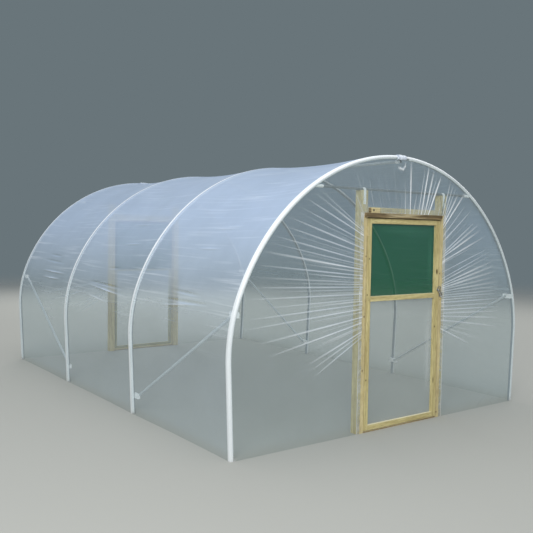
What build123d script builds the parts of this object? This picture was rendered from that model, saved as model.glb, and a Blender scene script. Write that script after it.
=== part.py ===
from build123d import *
import math
import os

os.makedirs("parts", exist_ok=True)

# Walk-in polytunnel: steel hoops under clear film, a timber frame and a hinged door in each end.
# X across, +Y from the front door to the rear door, +Z up, the ground at Z = 0. Millimetres.

# hoops: legs that lean in, a haunch arc each side and a flatter crown arc
bay_length = 1524.0
bay_count = 3
haunch_radius = 1222.3
crown_radius = 1673.4
haunch_centre_z = 696.4
haunch_angle = 21.9
leg_lean = 2.56
hoop_outer_radius = 15.0
tube_wall = 1.5

# tape on the outer half of each hoop, and the film over it
seat_gap = 0.3
tape_thickness = 2.4
tape_foot_z = 3.0
film_thickness = 2.0
film_strips = 12
film_fan_angle = 18.0

# ridge tube under the hoops
ridge_radius = 12.5
ridge_overhang = 8.0
clamp_wall = 3.0
clamp_sleeve = 22.0
clamp_lug_width = 26.0
clamp_lug_drop = 1.0

# crop bar across each end hoop
crop_bar_drop = 270.7
crop_bar_radius = 10.0
crop_bar_setback = 46.0
socket_wall = 2.5
socket_grip = 40.0
socket_reach = 34.0

# corner braces, each from an end hoop down to the next hoop's leg
brace_radius = 11.0
brace_top_z = 1009.0
brace_foot_z = 157.0
brace_end_reach = 47.0
brace_clearance = 4.0
brace_clamp_height = 40.0
brace_clamp_overhang = 14.0
brace_clamp_grip = 30.0

# door frame: two posts up to the crop bar, a lintel, battens and a threshold board
post_width = 70.0
post_depth = 66.0
doorway_width = 874.0
front_door_offset = 68.0
rear_door_offset = 0.0
lintel_below_bar = 106.8
lintel_height = 113.0
lintel_depth = 40.0
batten_height = 37.3
batten_thickness = 20.0
batten_left_lap = 32.0
batten_right_lap = 2.0
batten_slant = 18.0
strip_height = 38.6
strip_thickness = 18.0
strip_setback = 12.0
block_setback = 26.0
block_length = 92.0
block_gap = 8.0
screw_hole_radius = 5.0
screw_hole_inset = 20.0
film_lap = 33.0
threshold_height = 9.0
threshold_depth = 40.0

# straps from the post tops up over the crop bar
strap_width = 26.0
strap_thickness = 2.0
strap_length = 118.0

# door leaf: stiles, three rails, mesh in the upper panel and film in the lower
door_top_clearance = 7.0
door_bottom_gap = 5.2
hinge_side_gap = 5.0
latch_side_gap = 6.5
door_thickness = 24.0
stile_width = 45.0
rail_height = 40.0
upper_panel_height = 578.0
panel_inset = 9.0
panel_split = 2.0
mesh_thickness = 2.0

# hinges
hinge_height = 76.0
hinge_plate = 2.0
hinge_leaf_width = 20.0
knuckle_radius = 4.5
knuckle_proud = 1.0
knuckle_gap = 0.5
pin_radius = 2.0
pin_clearance = 0.08
upper_hinge_drop = 103.0
lower_hinge_rise = 286.0

# cabin hook: an eye on the stile, a slanting bar with a curled end, and an eye on the post
hook_eye_inset = 12.0
hook_eye_rise = 30.0
hook_fall = 64.0
hook_radius = 3.0
hook_curl_radius = 6.0
hook_curl_angle = 150.0
hook_clearance = 5.5
eye_plate_radius = 8.0
eye_radius = 4.5
eye_proud = 1.0
keep_drop = 19.0

# sizes that follow from the ones above
half_length = bay_length * bay_count / 2
hoop_places = [bay_length * i - half_length for i in range(bay_count + 1)]
centre_shift = crown_radius - haunch_radius
haunch_centre_x = centre_shift * math.cos(math.radians(haunch_angle))
crown_centre_z = haunch_centre_z - centre_shift * math.sin(math.radians(haunch_angle))
crown_z = crown_centre_z + crown_radius
lean = math.radians(leg_lean)
tape_inner = hoop_outer_radius + seat_gap
tape_outer = tape_inner + tape_thickness
film_inner = tape_outer + seat_gap
film_outer = film_inner + film_thickness
timber_face = tape_outer
crop_bar_z = crown_z - crop_bar_drop
post_top = crop_bar_z - crop_bar_radius - seat_gap
lintel_top = crop_bar_z - lintel_below_bar
lintel_bottom = lintel_top - lintel_height
batten_bottom = lintel_bottom - seat_gap
door_top = batten_bottom - door_top_clearance
door_bottom = threshold_height + door_bottom_gap
upper_panel_top = door_top - rail_height
mid_rail_top = upper_panel_top - upper_panel_height
mid_rail_bottom = mid_rail_top - rail_height
post_inner = doorway_width / 2
post_outer = post_inner + post_width
post_middle = post_inner + post_width / 2
leaf_left = -post_inner + hinge_side_gap
leaf_right = post_inner - latch_side_gap
leaf_back = timber_face - door_thickness
hinge_x = -post_inner + hinge_side_gap / 2
hinge_out = timber_face + knuckle_proud + knuckle_radius
plate_out = timber_face + seat_gap + hinge_plate
hook_eye_x = leaf_right - hook_eye_inset
hook_eye_z = mid_rail_top + hook_eye_rise
hook_out = film_outer + hook_clearance + hook_radius
hook_tip_x = post_inner + (post_width - film_lap) / 2
hook_tip_z = hook_eye_z - hook_fall
hinge_heights = (door_top - upper_hinge_drop, door_bottom + lower_hinge_rise)


def half_width_at(z, offset):
    """Half width at height z of the hoop's line moved outward by offset."""
    radius = haunch_radius + offset
    if z >= haunch_centre_z + radius * math.sin(math.radians(haunch_angle)):
        return math.sqrt((crown_radius + offset) ** 2 - (z - crown_centre_z) ** 2)
    leg_top_z = haunch_centre_z - radius * math.sin(lean)
    if z >= leg_top_z:
        return haunch_centre_x + math.sqrt(radius ** 2 - (z - haunch_centre_z) ** 2)
    return haunch_centre_x + radius * math.cos(lean) - (leg_top_z - z) * math.tan(lean)


def arch_line(offset, foot_z):
    """The hoop's line moved outward by offset, from the right foot over to the left."""
    radius = haunch_radius + offset
    leg_top_z = haunch_centre_z - radius * math.sin(lean)
    leg_top_x = haunch_centre_x + radius * math.cos(lean)
    foot_x = leg_top_x - (leg_top_z - foot_z) * math.tan(lean)
    Line((foot_x, foot_z), (leg_top_x, leg_top_z))
    CenterArc((haunch_centre_x, haunch_centre_z), radius, -leg_lean, leg_lean + haunch_angle)
    CenterArc((0, crown_centre_z), crown_radius + offset, haunch_angle, 180 - 2 * haunch_angle)
    CenterArc((-haunch_centre_x, haunch_centre_z), radius, 180 - haunch_angle, haunch_angle + leg_lean)
    Line((-leg_top_x, leg_top_z), (-foot_x, foot_z))
    return foot_x


def arch_profile(offset):
    """The area under the hoop's line moved outward by offset, down to the ground."""
    with BuildSketch() as profile:
        with BuildLine():
            foot_x = arch_line(offset, 0)
            Line((foot_x, 0), (-foot_x, 0))
        make_face()
    return profile.sketch


def rectangle(left, right, low, high, mode=Mode.ADD):
    """A rectangle by its edges, in the sketch that is open."""
    with Locations(((left + right) / 2, (low + high) / 2)):
        Rectangle(right - left, high - low, mode=mode)


def slab(plane, out, back, left, right, low, high, mode=Mode.ADD):
    """A board in the part that is open, by its edges in the plane and its distances out from it."""
    with Locations(plane):
        with Locations(((left + right) / 2, (low + high) / 2, (out + back) / 2)):
            Box(right - left, high - low, out - back, mode=mode)


def save(piece, name):
    """Labels a finished piece and writes it."""
    piece.part.label = name
    export_step(piece.part, f"parts/{name}.step")


def bent_bar(outer, inner, foot_z, outer_half_only=False):
    """A bar or tube bent along the hoop's line in the plane Y = 0, cut level at foot_z."""
    with BuildPart() as bar:
        with BuildLine(Plane.XZ) as path:
            arch_line(0, foot_z - 2 * outer)
        start = Plane(path.line @ 0, x_dir=(0, 1, 0), z_dir=path.line % 0)
        with BuildSketch(start):
            Circle(outer)
            if inner:
                Circle(inner, mode=Mode.SUBTRACT)
            if outer_half_only:
                rectangle(-2 * outer, 2 * outer, 0, 2 * outer, mode=Mode.SUBTRACT)
        sweep(path=path.line)
        split(bisect_by=Plane.XY.offset(foot_z), keep=Keep.TOP)
    return bar


# hoops
hoop_blank = bent_bar(hoop_outer_radius, hoop_outer_radius - tube_wall, 0)
hoop_clearance = bent_bar(hoop_outer_radius + seat_gap, 0, 0)
for hoop_name, place in zip(("hoop_front", "hoop_second", "hoop_third", "hoop_rear"), hoop_places):
    with BuildPart() as hoop:
        with Locations((0, place, 0)):
            add(hoop_blank.part)
    save(hoop, hoop_name)

# tape on the outer half of every hoop
tape_band = bent_bar(tape_outer, tape_inner, tape_foot_z, outer_half_only=True)
with BuildPart() as hoop_tape:
    with Locations([(0, place, 0) for place in hoop_places]):
        add(tape_band.part)
save(hoop_tape, "hoop_tape")

# ridge tube, hung under the hoops
ridge_z = crown_z - hoop_outer_radius - seat_gap - ridge_radius
ridge_end = half_length + ridge_overhang
with BuildPart() as ridge_tube:
    with BuildSketch(Plane.XZ.offset(ridge_end)):
        with Locations((0, ridge_z)):
            Circle(ridge_radius)
            Circle(ridge_radius - tube_wall, mode=Mode.SUBTRACT)
    extrude(amount=-2 * ridge_end)
save(ridge_tube, "ridge_tube")

# ridge clamp: a sleeve on the ridge tube with a lug up the hoop's inward side
sleeve_inner = ridge_radius + seat_gap
lug_face = Plane.XZ.offset(-hoop_outer_radius - seat_gap)
with BuildPart() as ridge_clamp:
    with BuildSketch(lug_face):
        with Locations((0, ridge_z)):
            Circle(sleeve_inner + clamp_wall)
        rectangle(-clamp_lug_width / 2, clamp_lug_width / 2, ridge_z, crown_z - clamp_lug_drop)
        with Locations((0, ridge_z)):
            Circle(sleeve_inner, mode=Mode.SUBTRACT)
    extrude(amount=-clamp_wall)
    with BuildSketch(lug_face.offset(-clamp_wall)):
        with Locations((0, ridge_z)):
            Circle(sleeve_inner + clamp_wall)
            Circle(sleeve_inner, mode=Mode.SUBTRACT)
    extrude(amount=-clamp_sleeve)
with BuildPart() as ridge_clamps:
    for place in hoop_places:
        with Locations(Location((0, place, 0), (0, 0, 0 if place < 0 else 180))):
            add(ridge_clamp.part)
save(ridge_clamps, "ridge_clamps")

# crop bars, each between two sockets shaped to the end hoop
crop_bar_end = half_width_at(crop_bar_z, 0) - crop_bar_setback
with BuildPart() as crop_bar_blank:
    with BuildSketch(Plane.YZ.offset(-crop_bar_end)):
        with Locations((0, crop_bar_z)):
            Circle(crop_bar_radius)
            Circle(crop_bar_radius - tube_wall, mode=Mode.SUBTRACT)
    extrude(amount=2 * crop_bar_end)
for bar_name, place in (("crop_bar_front", -half_length), ("crop_bar_rear", half_length)):
    with BuildPart() as crop_bar:
        with Locations((0, place, 0)):
            add(crop_bar_blank.part)
    save(crop_bar, bar_name)

with BuildPart() as bar_socket:
    with BuildSketch(Plane.YZ.offset(crop_bar_end - socket_grip)):
        with Locations((0, crop_bar_z)):
            Circle(crop_bar_radius + seat_gap + socket_wall)
    extrude(amount=socket_grip + socket_reach)
    with BuildSketch(Plane.YZ.offset(crop_bar_end - socket_grip)):
        with Locations((0, crop_bar_z)):
            Circle(crop_bar_radius + seat_gap)
    extrude(amount=socket_grip + seat_gap, mode=Mode.SUBTRACT)
    add(hoop_clearance.part, mode=Mode.SUBTRACT)
inner_socket = bar_socket.solids().sort_by(Axis.X)[0]
with BuildPart() as crop_bar_clamps:
    for place in (-half_length, half_length):
        with Locations(Location((0, place, 0), (0, 0, 0)), Location((0, place, 0), (0, 0, 180))):
            add(inner_socket)
save(crop_bar_clamps, "crop_bar_clamps")

# corner brace and its two clamps, drawn for the front right corner with the end hoop at Y = 0
brace_inset = hoop_outer_radius + seat_gap + brace_clearance + brace_radius
brace_top = Vector(half_width_at(brace_top_z, 0) - brace_inset, brace_end_reach, brace_top_z)
brace_foot_x = half_width_at(brace_foot_z, 0) - brace_inset
brace_foot = Vector(brace_foot_x, bay_length - brace_end_reach, brace_foot_z)
brace_run = brace_foot - brace_top
brace_start = Plane(brace_top, z_dir=brace_run)
with BuildPart() as corner_brace:
    with BuildSketch(brace_start):
        Circle(brace_radius)
        Circle(brace_radius - tube_wall, mode=Mode.SUBTRACT)
    extrude(amount=brace_run.length)
with BuildPart() as brace_bore:
    with BuildSketch(brace_start.offset(-brace_clamp_grip)):
        Circle(brace_radius + seat_gap)
    extrude(amount=brace_run.length + 2 * brace_clamp_grip)


def brace_clamp(z, start_y, end_y, hoop_y):
    """A cast clamp that fills the space between a hoop's inner face and a brace's side."""
    hoop_x = half_width_at(z, 0)
    with BuildPart() as clamp:
        with BuildSketch(Plane.YZ.offset(hoop_x - brace_inset)):
            rectangle(start_y, end_y, z - brace_clamp_height / 2, z + brace_clamp_height / 2)
        extrude(amount=brace_inset - hoop_outer_radius / 2)
        with Locations((0, hoop_y, 0)):
            add(hoop_clearance.part, mode=Mode.SUBTRACT)
        add(brace_bore.part, mode=Mode.SUBTRACT)
    return clamp.solids().sort_by(SortBy.VOLUME)[-1]


top_clamp = brace_clamp(
    brace_top_z, -brace_clamp_overhang, brace_end_reach + brace_clamp_grip, 0)
foot_clamp = brace_clamp(
    brace_foot_z, bay_length - brace_end_reach - brace_clamp_grip,
    bay_length + brace_clamp_overhang, bay_length)
with BuildPart() as brace_clamps:
    with Locations((0, -half_length, 0)):
        add([top_clamp, foot_clamp])
    mirror(about=Plane.YZ)
    mirror(about=Plane.XZ)
save(brace_clamps, "brace_clamps")
for end_name, end in (("front", 1), ("rear", -1)):
    for side_name, side in (("right", 1), ("left", -1)):
        with BuildPart() as brace:
            with Locations((0, -half_length, 0)):
                add(corner_brace.part)
            if side < 0:
                mirror(about=Plane.YZ, mode=Mode.REPLACE)
            if end < 0:
                mirror(about=Plane.XZ, mode=Mode.REPLACE)
        save(brace, f"brace_{end_name}_{side_name}")

# film over the hoops, a bay at a time, in strips that run along the tunnel
outer_arch = arch_profile(film_outer)
inner_arch = arch_profile(film_inner)
strip_step = (180 + 2 * film_fan_angle) / film_strips
for i, bay_name in enumerate(("cover_bay_front", "cover_bay_middle", "cover_bay_rear")):
    start_y = hoop_places[i] + seat_gap / 2 if i else hoop_places[i] - tape_outer
    end_y = hoop_places[i + 1] - seat_gap / 2
    if i == bay_count - 1:
        end_y = hoop_places[i + 1] + tape_outer
    with BuildPart() as cover_bay:
        with BuildSketch(Plane.XZ.offset(-start_y)):
            add(outer_arch)
            add(inner_arch, mode=Mode.SUBTRACT)
            for cut in range(1, film_strips):
                angle = cut * strip_step - film_fan_angle
                with Locations(Location((0, crown_centre_z), angle)):
                    Rectangle(
                        crown_radius * 2, seat_gap, align=(Align.MIN, Align.CENTER), mode=Mode.SUBTRACT)
        extrude(amount=start_y - end_y)
    save(cover_bay, bay_name)


# everything below stands in an end wall's elevation: x to the right from outside, y up, z outward
def end_piece(name, end_name, piece):
    """Saves a piece of an end wall under the name of its end."""
    save(piece, f"{end_name}_{name}")


def screw_eye(door_plane, x, z):
    """A round plate on the timber's face with a stud, which carries or catches the cabin hook."""
    with BuildPart(mode=Mode.PRIVATE) as eye:
        with BuildSketch(door_plane.offset(timber_face + seat_gap)):
            with Locations((x, z)):
                Circle(eye_plate_radius)
        extrude(amount=hinge_plate)
        with BuildSketch(door_plane.offset(plate_out)):
            with Locations((x, z)):
                Circle(eye_radius)
        extrude(amount=hook_out + hook_radius + eye_proud - plate_out)
    return eye.part


ends = {
    "front": (Plane((0, -half_length, 0), x_dir=(1, 0, 0), z_dir=(0, -1, 0)), front_door_offset),
    "rear": (Plane((0, half_length, 0), x_dir=(-1, 0, 0), z_dir=(0, 1, 0)), rear_door_offset),
}
strap_parts = []
plate_parts = []
for end_name, (hoop_plane, door_offset) in ends.items():
    door_plane = Plane(
        hoop_plane.from_local_coords((door_offset, 0, 0)), x_dir=hoop_plane.x_dir, z_dir=hoop_plane.z_dir)

    # end film: left and right of the door frame, and above it, lapped over the posts' front edges
    film_edge = post_outer - film_lap
    strip_bottom = batten_bottom + batten_height + seat_gap
    film_plane = hoop_plane.offset(film_inner)
    wide = 2 * crown_radius
    for film_name, edges in (
        ("film_left", [(-wide, door_offset - film_edge, 0, wide)]),
        ("film_right", [(door_offset + film_edge, wide, 0, wide)]),
        ("film_top", [
            (door_offset - film_edge + seat_gap, door_offset + film_edge - seat_gap, lintel_top, wide),
            (door_offset - post_inner + seat_gap, door_offset + post_inner - seat_gap,
             strip_bottom, lintel_top - seat_gap)]),
    ):
        with BuildPart() as film:
            for left, right, low, high in edges:
                with BuildSketch(film_plane):
                    add(outer_arch)
                    rectangle(left, right, low, high, mode=Mode.INTERSECT)
                extrude(amount=film_thickness)
        end_piece(film_name, end_name, film)

    # posts, with a shallow rebate at the top for the straps
    rebate_bottom = crop_bar_z - strap_length - seat_gap
    with BuildPart() as door_posts:
        for side in (-1, 1):
            middle = side * post_middle
            slab(door_plane, timber_face, timber_face - post_depth,
                 left=middle - post_width / 2, right=middle + post_width / 2, low=0, high=post_top)
            slab(door_plane, timber_face, timber_face - strap_thickness - seat_gap, mode=Mode.SUBTRACT,
                 left=middle - strap_width / 2 - seat_gap, right=middle + strap_width / 2 + seat_gap,
                 low=rebate_bottom, high=post_top)
    end_piece("door_posts", end_name, door_posts)

    # straps: a flat band up the post, hooked over the crop bar
    for side in (-1, 1):
        side_plane = Plane(
            door_plane.from_local_coords((side * post_middle - strap_width / 2, 0, 0)),
            x_dir=-door_plane.z_dir, z_dir=door_plane.x_dir)
        hook_inner = crop_bar_radius + seat_gap
        with BuildPart() as strap:
            with BuildSketch(side_plane):
                with Locations((0, crop_bar_z)):
                    Circle(hook_inner + strap_thickness)
                    Circle(hook_inner, mode=Mode.SUBTRACT)
                rectangle(-2 * hook_inner, 2 * hook_inner, crop_bar_z - 3 * hook_inner, crop_bar_z,
                          mode=Mode.SUBTRACT)
                rectangle(-timber_face, -crop_bar_radius - seat_gap, crop_bar_z, crop_bar_z + strap_thickness)
                rectangle(-timber_face, -timber_face + strap_thickness,
                          crop_bar_z - strap_length, crop_bar_z + strap_thickness)
            extrude(amount=strap_width)
        strap_parts.append(strap.part)

    # lintel between the posts, the threshold board, and the battens over the film's edge
    with BuildPart() as lintel:
        slab(door_plane, timber_face, timber_face - lintel_depth,
             left=-post_inner + seat_gap, right=post_inner - seat_gap, low=lintel_bottom, high=lintel_top)
    end_piece("lintel", end_name, lintel)
    with BuildPart() as threshold:
        slab(door_plane, timber_face, timber_face - threshold_depth,
             left=-post_inner + seat_gap, right=post_inner - seat_gap, low=0, high=threshold_height)
    end_piece("sill", end_name, threshold)
    with BuildPart() as batten:
        slab(door_plane, timber_face + seat_gap + batten_thickness, timber_face + seat_gap,
             left=-post_inner - batten_left_lap, right=post_inner + batten_right_lap,
             low=batten_bottom, high=batten_bottom + batten_height)
        right_end = batten.faces().sort_by(Axis(door_plane.origin, door_plane.x_dir))[-1]
        chamfer(right_end.edges().filter_by(Axis.Y).sort_by(Axis.Z)[0], batten_slant)
    end_piece("batten", end_name, batten)
    strip_back = film_inner + film_thickness + seat_gap
    strip_left = -post_inner + block_setback + block_length + block_gap
    with BuildPart() as cover_strips:
        for left, right in ((-post_inner + block_setback, strip_left - block_gap),
                            (strip_left, post_inner - strip_setback)):
            slab(door_plane, strip_back + strip_thickness, strip_back,
                 left=left, right=right, low=strip_bottom, high=strip_bottom + strip_height)
        with BuildSketch(door_plane.offset(strip_back + strip_thickness)):
            with Locations((-post_inner + block_setback + screw_hole_inset, strip_bottom + strip_height / 2)):
                Circle(screw_hole_radius)
        extrude(amount=-strip_thickness / 2, mode=Mode.SUBTRACT)
    end_piece("cover_strips", end_name, cover_strips)

    # door leaf: stiles from top to bottom with the rails cut between them
    with BuildPart() as door_frame:
        for left, right in ((leaf_left, leaf_left + stile_width), (leaf_right - stile_width, leaf_right)):
            slab(door_plane, timber_face, leaf_back, left=left, right=right, low=door_bottom, high=door_top)
        for rail_top in (door_top, mid_rail_top, door_bottom + rail_height):
            slab(door_plane, timber_face, leaf_back,
                 left=leaf_left + stile_width + seat_gap, right=leaf_right - stile_width - seat_gap,
                 low=rail_top - rail_height, high=rail_top)
    end_piece("door_frame", end_name, door_frame)
    panel_front = leaf_back - seat_gap
    panel_middle = mid_rail_top - rail_height / 2
    with BuildPart() as door_mesh:
        slab(door_plane, panel_front, panel_front - mesh_thickness,
             left=leaf_left + panel_inset, right=leaf_right - panel_inset,
             low=panel_middle + panel_split / 2, high=door_top - panel_inset)
    end_piece("door_mesh", end_name, door_mesh)
    with BuildPart() as door_film:
        slab(door_plane, panel_front, panel_front - film_thickness,
             left=leaf_left + panel_inset, right=leaf_right - panel_inset,
             low=door_bottom + panel_inset, high=panel_middle - panel_split / 2)
    end_piece("door_film", end_name, door_film)

    # hinges: two outer knuckles and the pin on the post, the middle knuckle on the door
    knuckle_height = hinge_height / 3
    with BuildPart() as door_hinges:
        for hinge_z in hinge_heights:
            middle_half = knuckle_height / 2 - knuckle_gap
            low = hinge_z - hinge_height / 2
            high = hinge_z + hinge_height / 2
            middle_foot = door_plane.from_local_coords((hinge_x, hinge_z - middle_half, hinge_out))
            with BuildSketch(Plane(middle_foot)):
                Circle(knuckle_radius)
            extrude(amount=2 * middle_half)
            slab(door_plane, plate_out, plate_out - hinge_plate,
                 left=hinge_x + knuckle_radius + knuckle_gap, right=hinge_x + hinge_leaf_width,
                 low=low, high=high)
            slab(door_plane, plate_out, plate_out - hinge_plate,
                 left=hinge_x, right=hinge_x + knuckle_radius + 2 * knuckle_gap,
                 low=hinge_z - middle_half, high=hinge_z + middle_half)
            with BuildSketch(Plane(door_plane.from_local_coords((hinge_x, low, hinge_out)))):
                Circle(pin_radius + pin_clearance)
            extrude(amount=hinge_height, mode=Mode.SUBTRACT)
    end_piece("door_hinges", end_name, door_hinges)
    with BuildPart() as fixed_plates:
        for hinge_z in hinge_heights:
            low = hinge_z - hinge_height / 2
            high = hinge_z + hinge_height / 2
            for knuckle_low in (low, high - knuckle_height):
                with BuildSketch(Plane(door_plane.from_local_coords((hinge_x, knuckle_low, hinge_out)))):
                    Circle(knuckle_radius)
                extrude(amount=knuckle_height)
                slab(door_plane, plate_out, plate_out - hinge_plate,
                     left=hinge_x - knuckle_radius - 2 * knuckle_gap, right=hinge_x,
                     low=knuckle_low, high=knuckle_low + knuckle_height)
            slab(door_plane, plate_out, plate_out - hinge_plate,
                 left=hinge_x - hinge_leaf_width, right=hinge_x - knuckle_radius - knuckle_gap,
                 low=low, high=high)
            with BuildSketch(Plane(door_plane.from_local_coords((hinge_x, low, hinge_out)))):
                Circle(pin_radius)
            extrude(amount=hinge_height)

        # the eye that the cabin hook drops into stands on the right post
        add(screw_eye(door_plane, hook_tip_x, hook_tip_z - keep_drop))
    plate_parts.append(fixed_plates.part)

    # cabin hook: its eye on the stile, and the bar down to the post with its end curled up
    with BuildPart() as door_latch:
        add(screw_eye(door_plane, hook_eye_x, hook_eye_z))
        with BuildLine(door_plane.offset(hook_out)) as hook_line:
            shank = Line((hook_eye_x, hook_eye_z), (hook_tip_x, hook_tip_z))
            JernArc(start=shank @ 1, tangent=shank % 1, radius=hook_curl_radius, arc_size=hook_curl_angle)
        with BuildSketch(Plane(origin=shank @ 0, z_dir=shank % 0)):
            Circle(hook_radius)
        sweep(path=hook_line.wires()[0])
    end_piece("door_latch", end_name, door_latch)

with BuildPart() as post_straps:
    add(strap_parts)
save(post_straps, "post_straps")
with BuildPart() as hinge_plates:
    add(plate_parts)
save(hinge_plates, "hinge_plates")
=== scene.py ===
import math
from functools import partial
from types import SimpleNamespace

import bmesh
import bpy
import numpy as np
from mathutils import Matrix, Vector


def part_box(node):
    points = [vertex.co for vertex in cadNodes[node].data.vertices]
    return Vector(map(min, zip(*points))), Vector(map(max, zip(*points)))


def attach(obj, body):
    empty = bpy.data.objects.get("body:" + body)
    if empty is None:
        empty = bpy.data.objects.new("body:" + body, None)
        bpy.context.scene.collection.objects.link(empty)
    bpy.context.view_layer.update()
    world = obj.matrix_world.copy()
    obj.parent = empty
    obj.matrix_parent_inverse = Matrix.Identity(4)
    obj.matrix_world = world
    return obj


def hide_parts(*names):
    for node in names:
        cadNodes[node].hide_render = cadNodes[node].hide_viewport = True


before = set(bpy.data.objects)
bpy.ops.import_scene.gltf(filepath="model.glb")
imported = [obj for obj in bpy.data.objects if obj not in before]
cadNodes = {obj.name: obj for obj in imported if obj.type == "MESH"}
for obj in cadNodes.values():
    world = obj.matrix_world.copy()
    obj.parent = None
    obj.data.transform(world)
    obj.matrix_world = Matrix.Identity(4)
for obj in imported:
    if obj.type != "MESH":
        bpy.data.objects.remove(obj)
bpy.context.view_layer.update()        # bodies, nodes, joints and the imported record
print("frame loaded:", len(cadNodes), "nodes")


def linear(hexText):
    # an sRGB hex colour as the linear values that nodes take
    parts = [int(hexText[i:i + 2], 16) / 255 for i in (1, 3, 5)]
    return tuple(v / 12.92 if v <= 0.04045 else ((v + 0.055) / 1.055) ** 2.4 for v in parts) + (1.0,)


def pick(sockets, key=None):
    # a socket by its number, by its name among those in use, or the first of those
    if isinstance(key, int):
        return sockets[key]
    return next(s for s in sockets if s.enabled and key in (None, s.name))


def addNode(tree, kind, inputs=None, **settings):
    # one node with its settings; an input is a plain value, a node, or (node, output)
    inGeometry = tree.type == "GEOMETRY"
    families = ("GeometryNode", "FunctionNode", "ShaderNode", "") if inGeometry else ("ShaderNode",)
    node = tree.nodes.new(next(f for f in families if hasattr(bpy.types, f + kind)) + kind)
    for name, value in settings.items():
        setattr(node, name, value)
    for key, value in (inputs or {}).items():
        linked = isinstance(value, tuple) and isinstance(value[0], bpy.types.Node)
        source, output = value if linked else (value, None)
        if isinstance(source, bpy.types.Node):
            tree.links.new(pick(source.outputs, output), pick(node.inputs, key))
        else:
            pick(node.inputs, key).default_value = value
    return node


def newMaterial(name):
    # an empty material and the helper that adds nodes to it
    material = bpy.data.materials.new(name)
    material.use_nodes = True
    material.node_tree.nodes.clear()
    return material, partial(addNode, material.node_tree)


def newMesh(name, points, faces, material=None):
    mesh = bpy.data.meshes.new(name)
    mesh.from_pydata(points, [], faces)
    if material:
        mesh.materials.append(material)
    return mesh


def addObject(name, data):
    # an object at the origin, unturned, linked to the scene
    item = bpy.data.objects.new(name, data)
    bpy.context.scene.collection.objects.link(item)
    return item


# camera, solved from the photograph's hoops and door frame
cameraSettings = {
    "place": (-4.2290, -6.1740, 1.5685),
    "yawDeg": 36.66,
    "pitchDeg": 2.71,
    "rollDeg": 0.92,
    "focalPixels": 689.7,
    "frameWidth": 533,
    "sensorWidth": 36.0,
}


def addCamera():
    s = cameraSettings
    yaw, pitch, roll = (math.radians(s[k]) for k in ("yawDeg", "pitchDeg", "rollDeg"))
    ahead = Vector((math.sin(yaw) * math.cos(pitch), math.cos(yaw) * math.cos(pitch), -math.sin(pitch)))
    level = Vector((math.cos(yaw), -math.sin(yaw), 0))
    upright = level.cross(ahead)
    right = math.cos(roll) * level + math.sin(roll) * upright
    top = math.cos(roll) * upright - math.sin(roll) * level
    data = bpy.data.cameras.new("camera")
    data.sensor_width = s["sensorWidth"]
    data.lens = s["focalPixels"] / s["frameWidth"] * data.sensor_width
    camera = addObject("camera", data)
    turn = Matrix((right, top, -ahead)).transposed().to_4x4()
    camera.matrix_world = Matrix.Translation(s["place"]) @ turn
    bpy.context.scene.camera = camera


# plain pale floor that fades into the backdrop, and soft lamps
stageSettings = {
    "floorColour": "#aaaba6",
    "backdropColour": "#69757a",
    "floorReach": 26.0,
    "fadeFrom": 7.0,
    "fadeTo": 20.0,
    "skyStrength": 0.58,
    "skyColour": "#eef2f6",
    "lamps": [
        {"name": "overheadSoftbox", "place": (-2.0, -1.0, 8.5), "aim": (0, 0, 1), "size": 9.0, "power": 230},
        {"name": "frontSoftbox", "place": (-7.5, -8.5, 5.5), "aim": (0, -1, 1), "size": 5.0, "power": 760},
        {"name": "sideSoftbox", "place": (9.5, 0.5, 7.0), "aim": (0, 0, 1), "size": 7.0, "power": 220},
        {"name": "rearSoftbox", "place": (3.0, 10.0, 6.0), "aim": (0, 1, 1), "size": 6.0, "power": 330},
    ],
}


def addStage():
    s = stageSettings
    material, add = newMaterial("plainPaleFloor")
    coords = add("TexCoord")
    reach = add("VectorMath", {"Vector": (coords, "Object")}, operation="LENGTH")
    fade = add("MapRange", {"Value": reach, "From Min": s["fadeFrom"], "From Max": s["fadeTo"]},
               interpolation_type="SMOOTHSTEP")
    ground = add("BsdfDiffuse", {"Color": linear(s["floorColour"])})
    clear = add("BsdfTransparent")
    add("OutputMaterial", {"Surface": add("MixShader", {0: fade, 1: ground, 2: clear})})
    r = s["floorReach"]
    corners = [(-r, -r, 0), (r, -r, 0), (r, r, 0), (-r, r, 0)]
    addObject("floor", newMesh("floor", corners, [(0, 1, 2, 3)], material))

    world = bpy.data.worlds.new("studio")
    bpy.context.scene.world = world
    world.use_nodes = True
    world.node_tree.nodes.clear()
    add = partial(addNode, world.node_tree)
    rays = add("LightPath")
    seen = add("Math", {0: (rays, "Is Camera Ray"), 1: (rays, "Is Glossy Ray")}, operation="MAXIMUM")
    seen = add("Math", {0: seen, 1: (rays, "Is Transmission Ray")}, operation="MAXIMUM")
    sky = add("Background", {"Color": linear(s["skyColour"]), "Strength": s["skyStrength"]})
    backdrop = add("Background", {"Color": linear(s["backdropColour"]), "Strength": 1.0})
    add("OutputWorld", {"Surface": add("MixShader", {0: seen, 1: sky, 2: backdrop})})

    for lamp in s["lamps"]:
        data = bpy.data.lights.new(lamp["name"], "AREA")
        data.shape = "DISK"
        data.size = lamp["size"]
        data.energy = lamp["power"]
        light = addObject(lamp["name"], data)
        light.location = lamp["place"]
        away = Vector(lamp["place"]) - Vector(lamp["aim"])
        light.rotation_mode = "QUATERNION"
        light.rotation_quaternion = away.to_track_quat("Z", "Y")
        light.visible_glossy = lamp["name"] != "rearSoftbox"     # no hot streak of it on the cover


addCamera()
addStage()
bpy.context.scene.view_settings.view_transform = "Standard"
print("camera, floor and lamps placed")


# films: what a clear sheet lets through, how milky it is, and the colours of its painted sky reflection and
# painted crease highlights
filmTone = {
    "clearTint": "#f0f5f5",
    "creaseHazeAndSheenColour": "#f2f6f8",
    "dust": "#a39682",
    "grazingHaze": 0.20,
    "paintedSkyAmount": 0.40,
    "paintedSkyColour": "#bfd2ee",
    "dustHeight": 0.10,
    "mottleMm": 350,
    "finePleatMm": 7,
}


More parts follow.
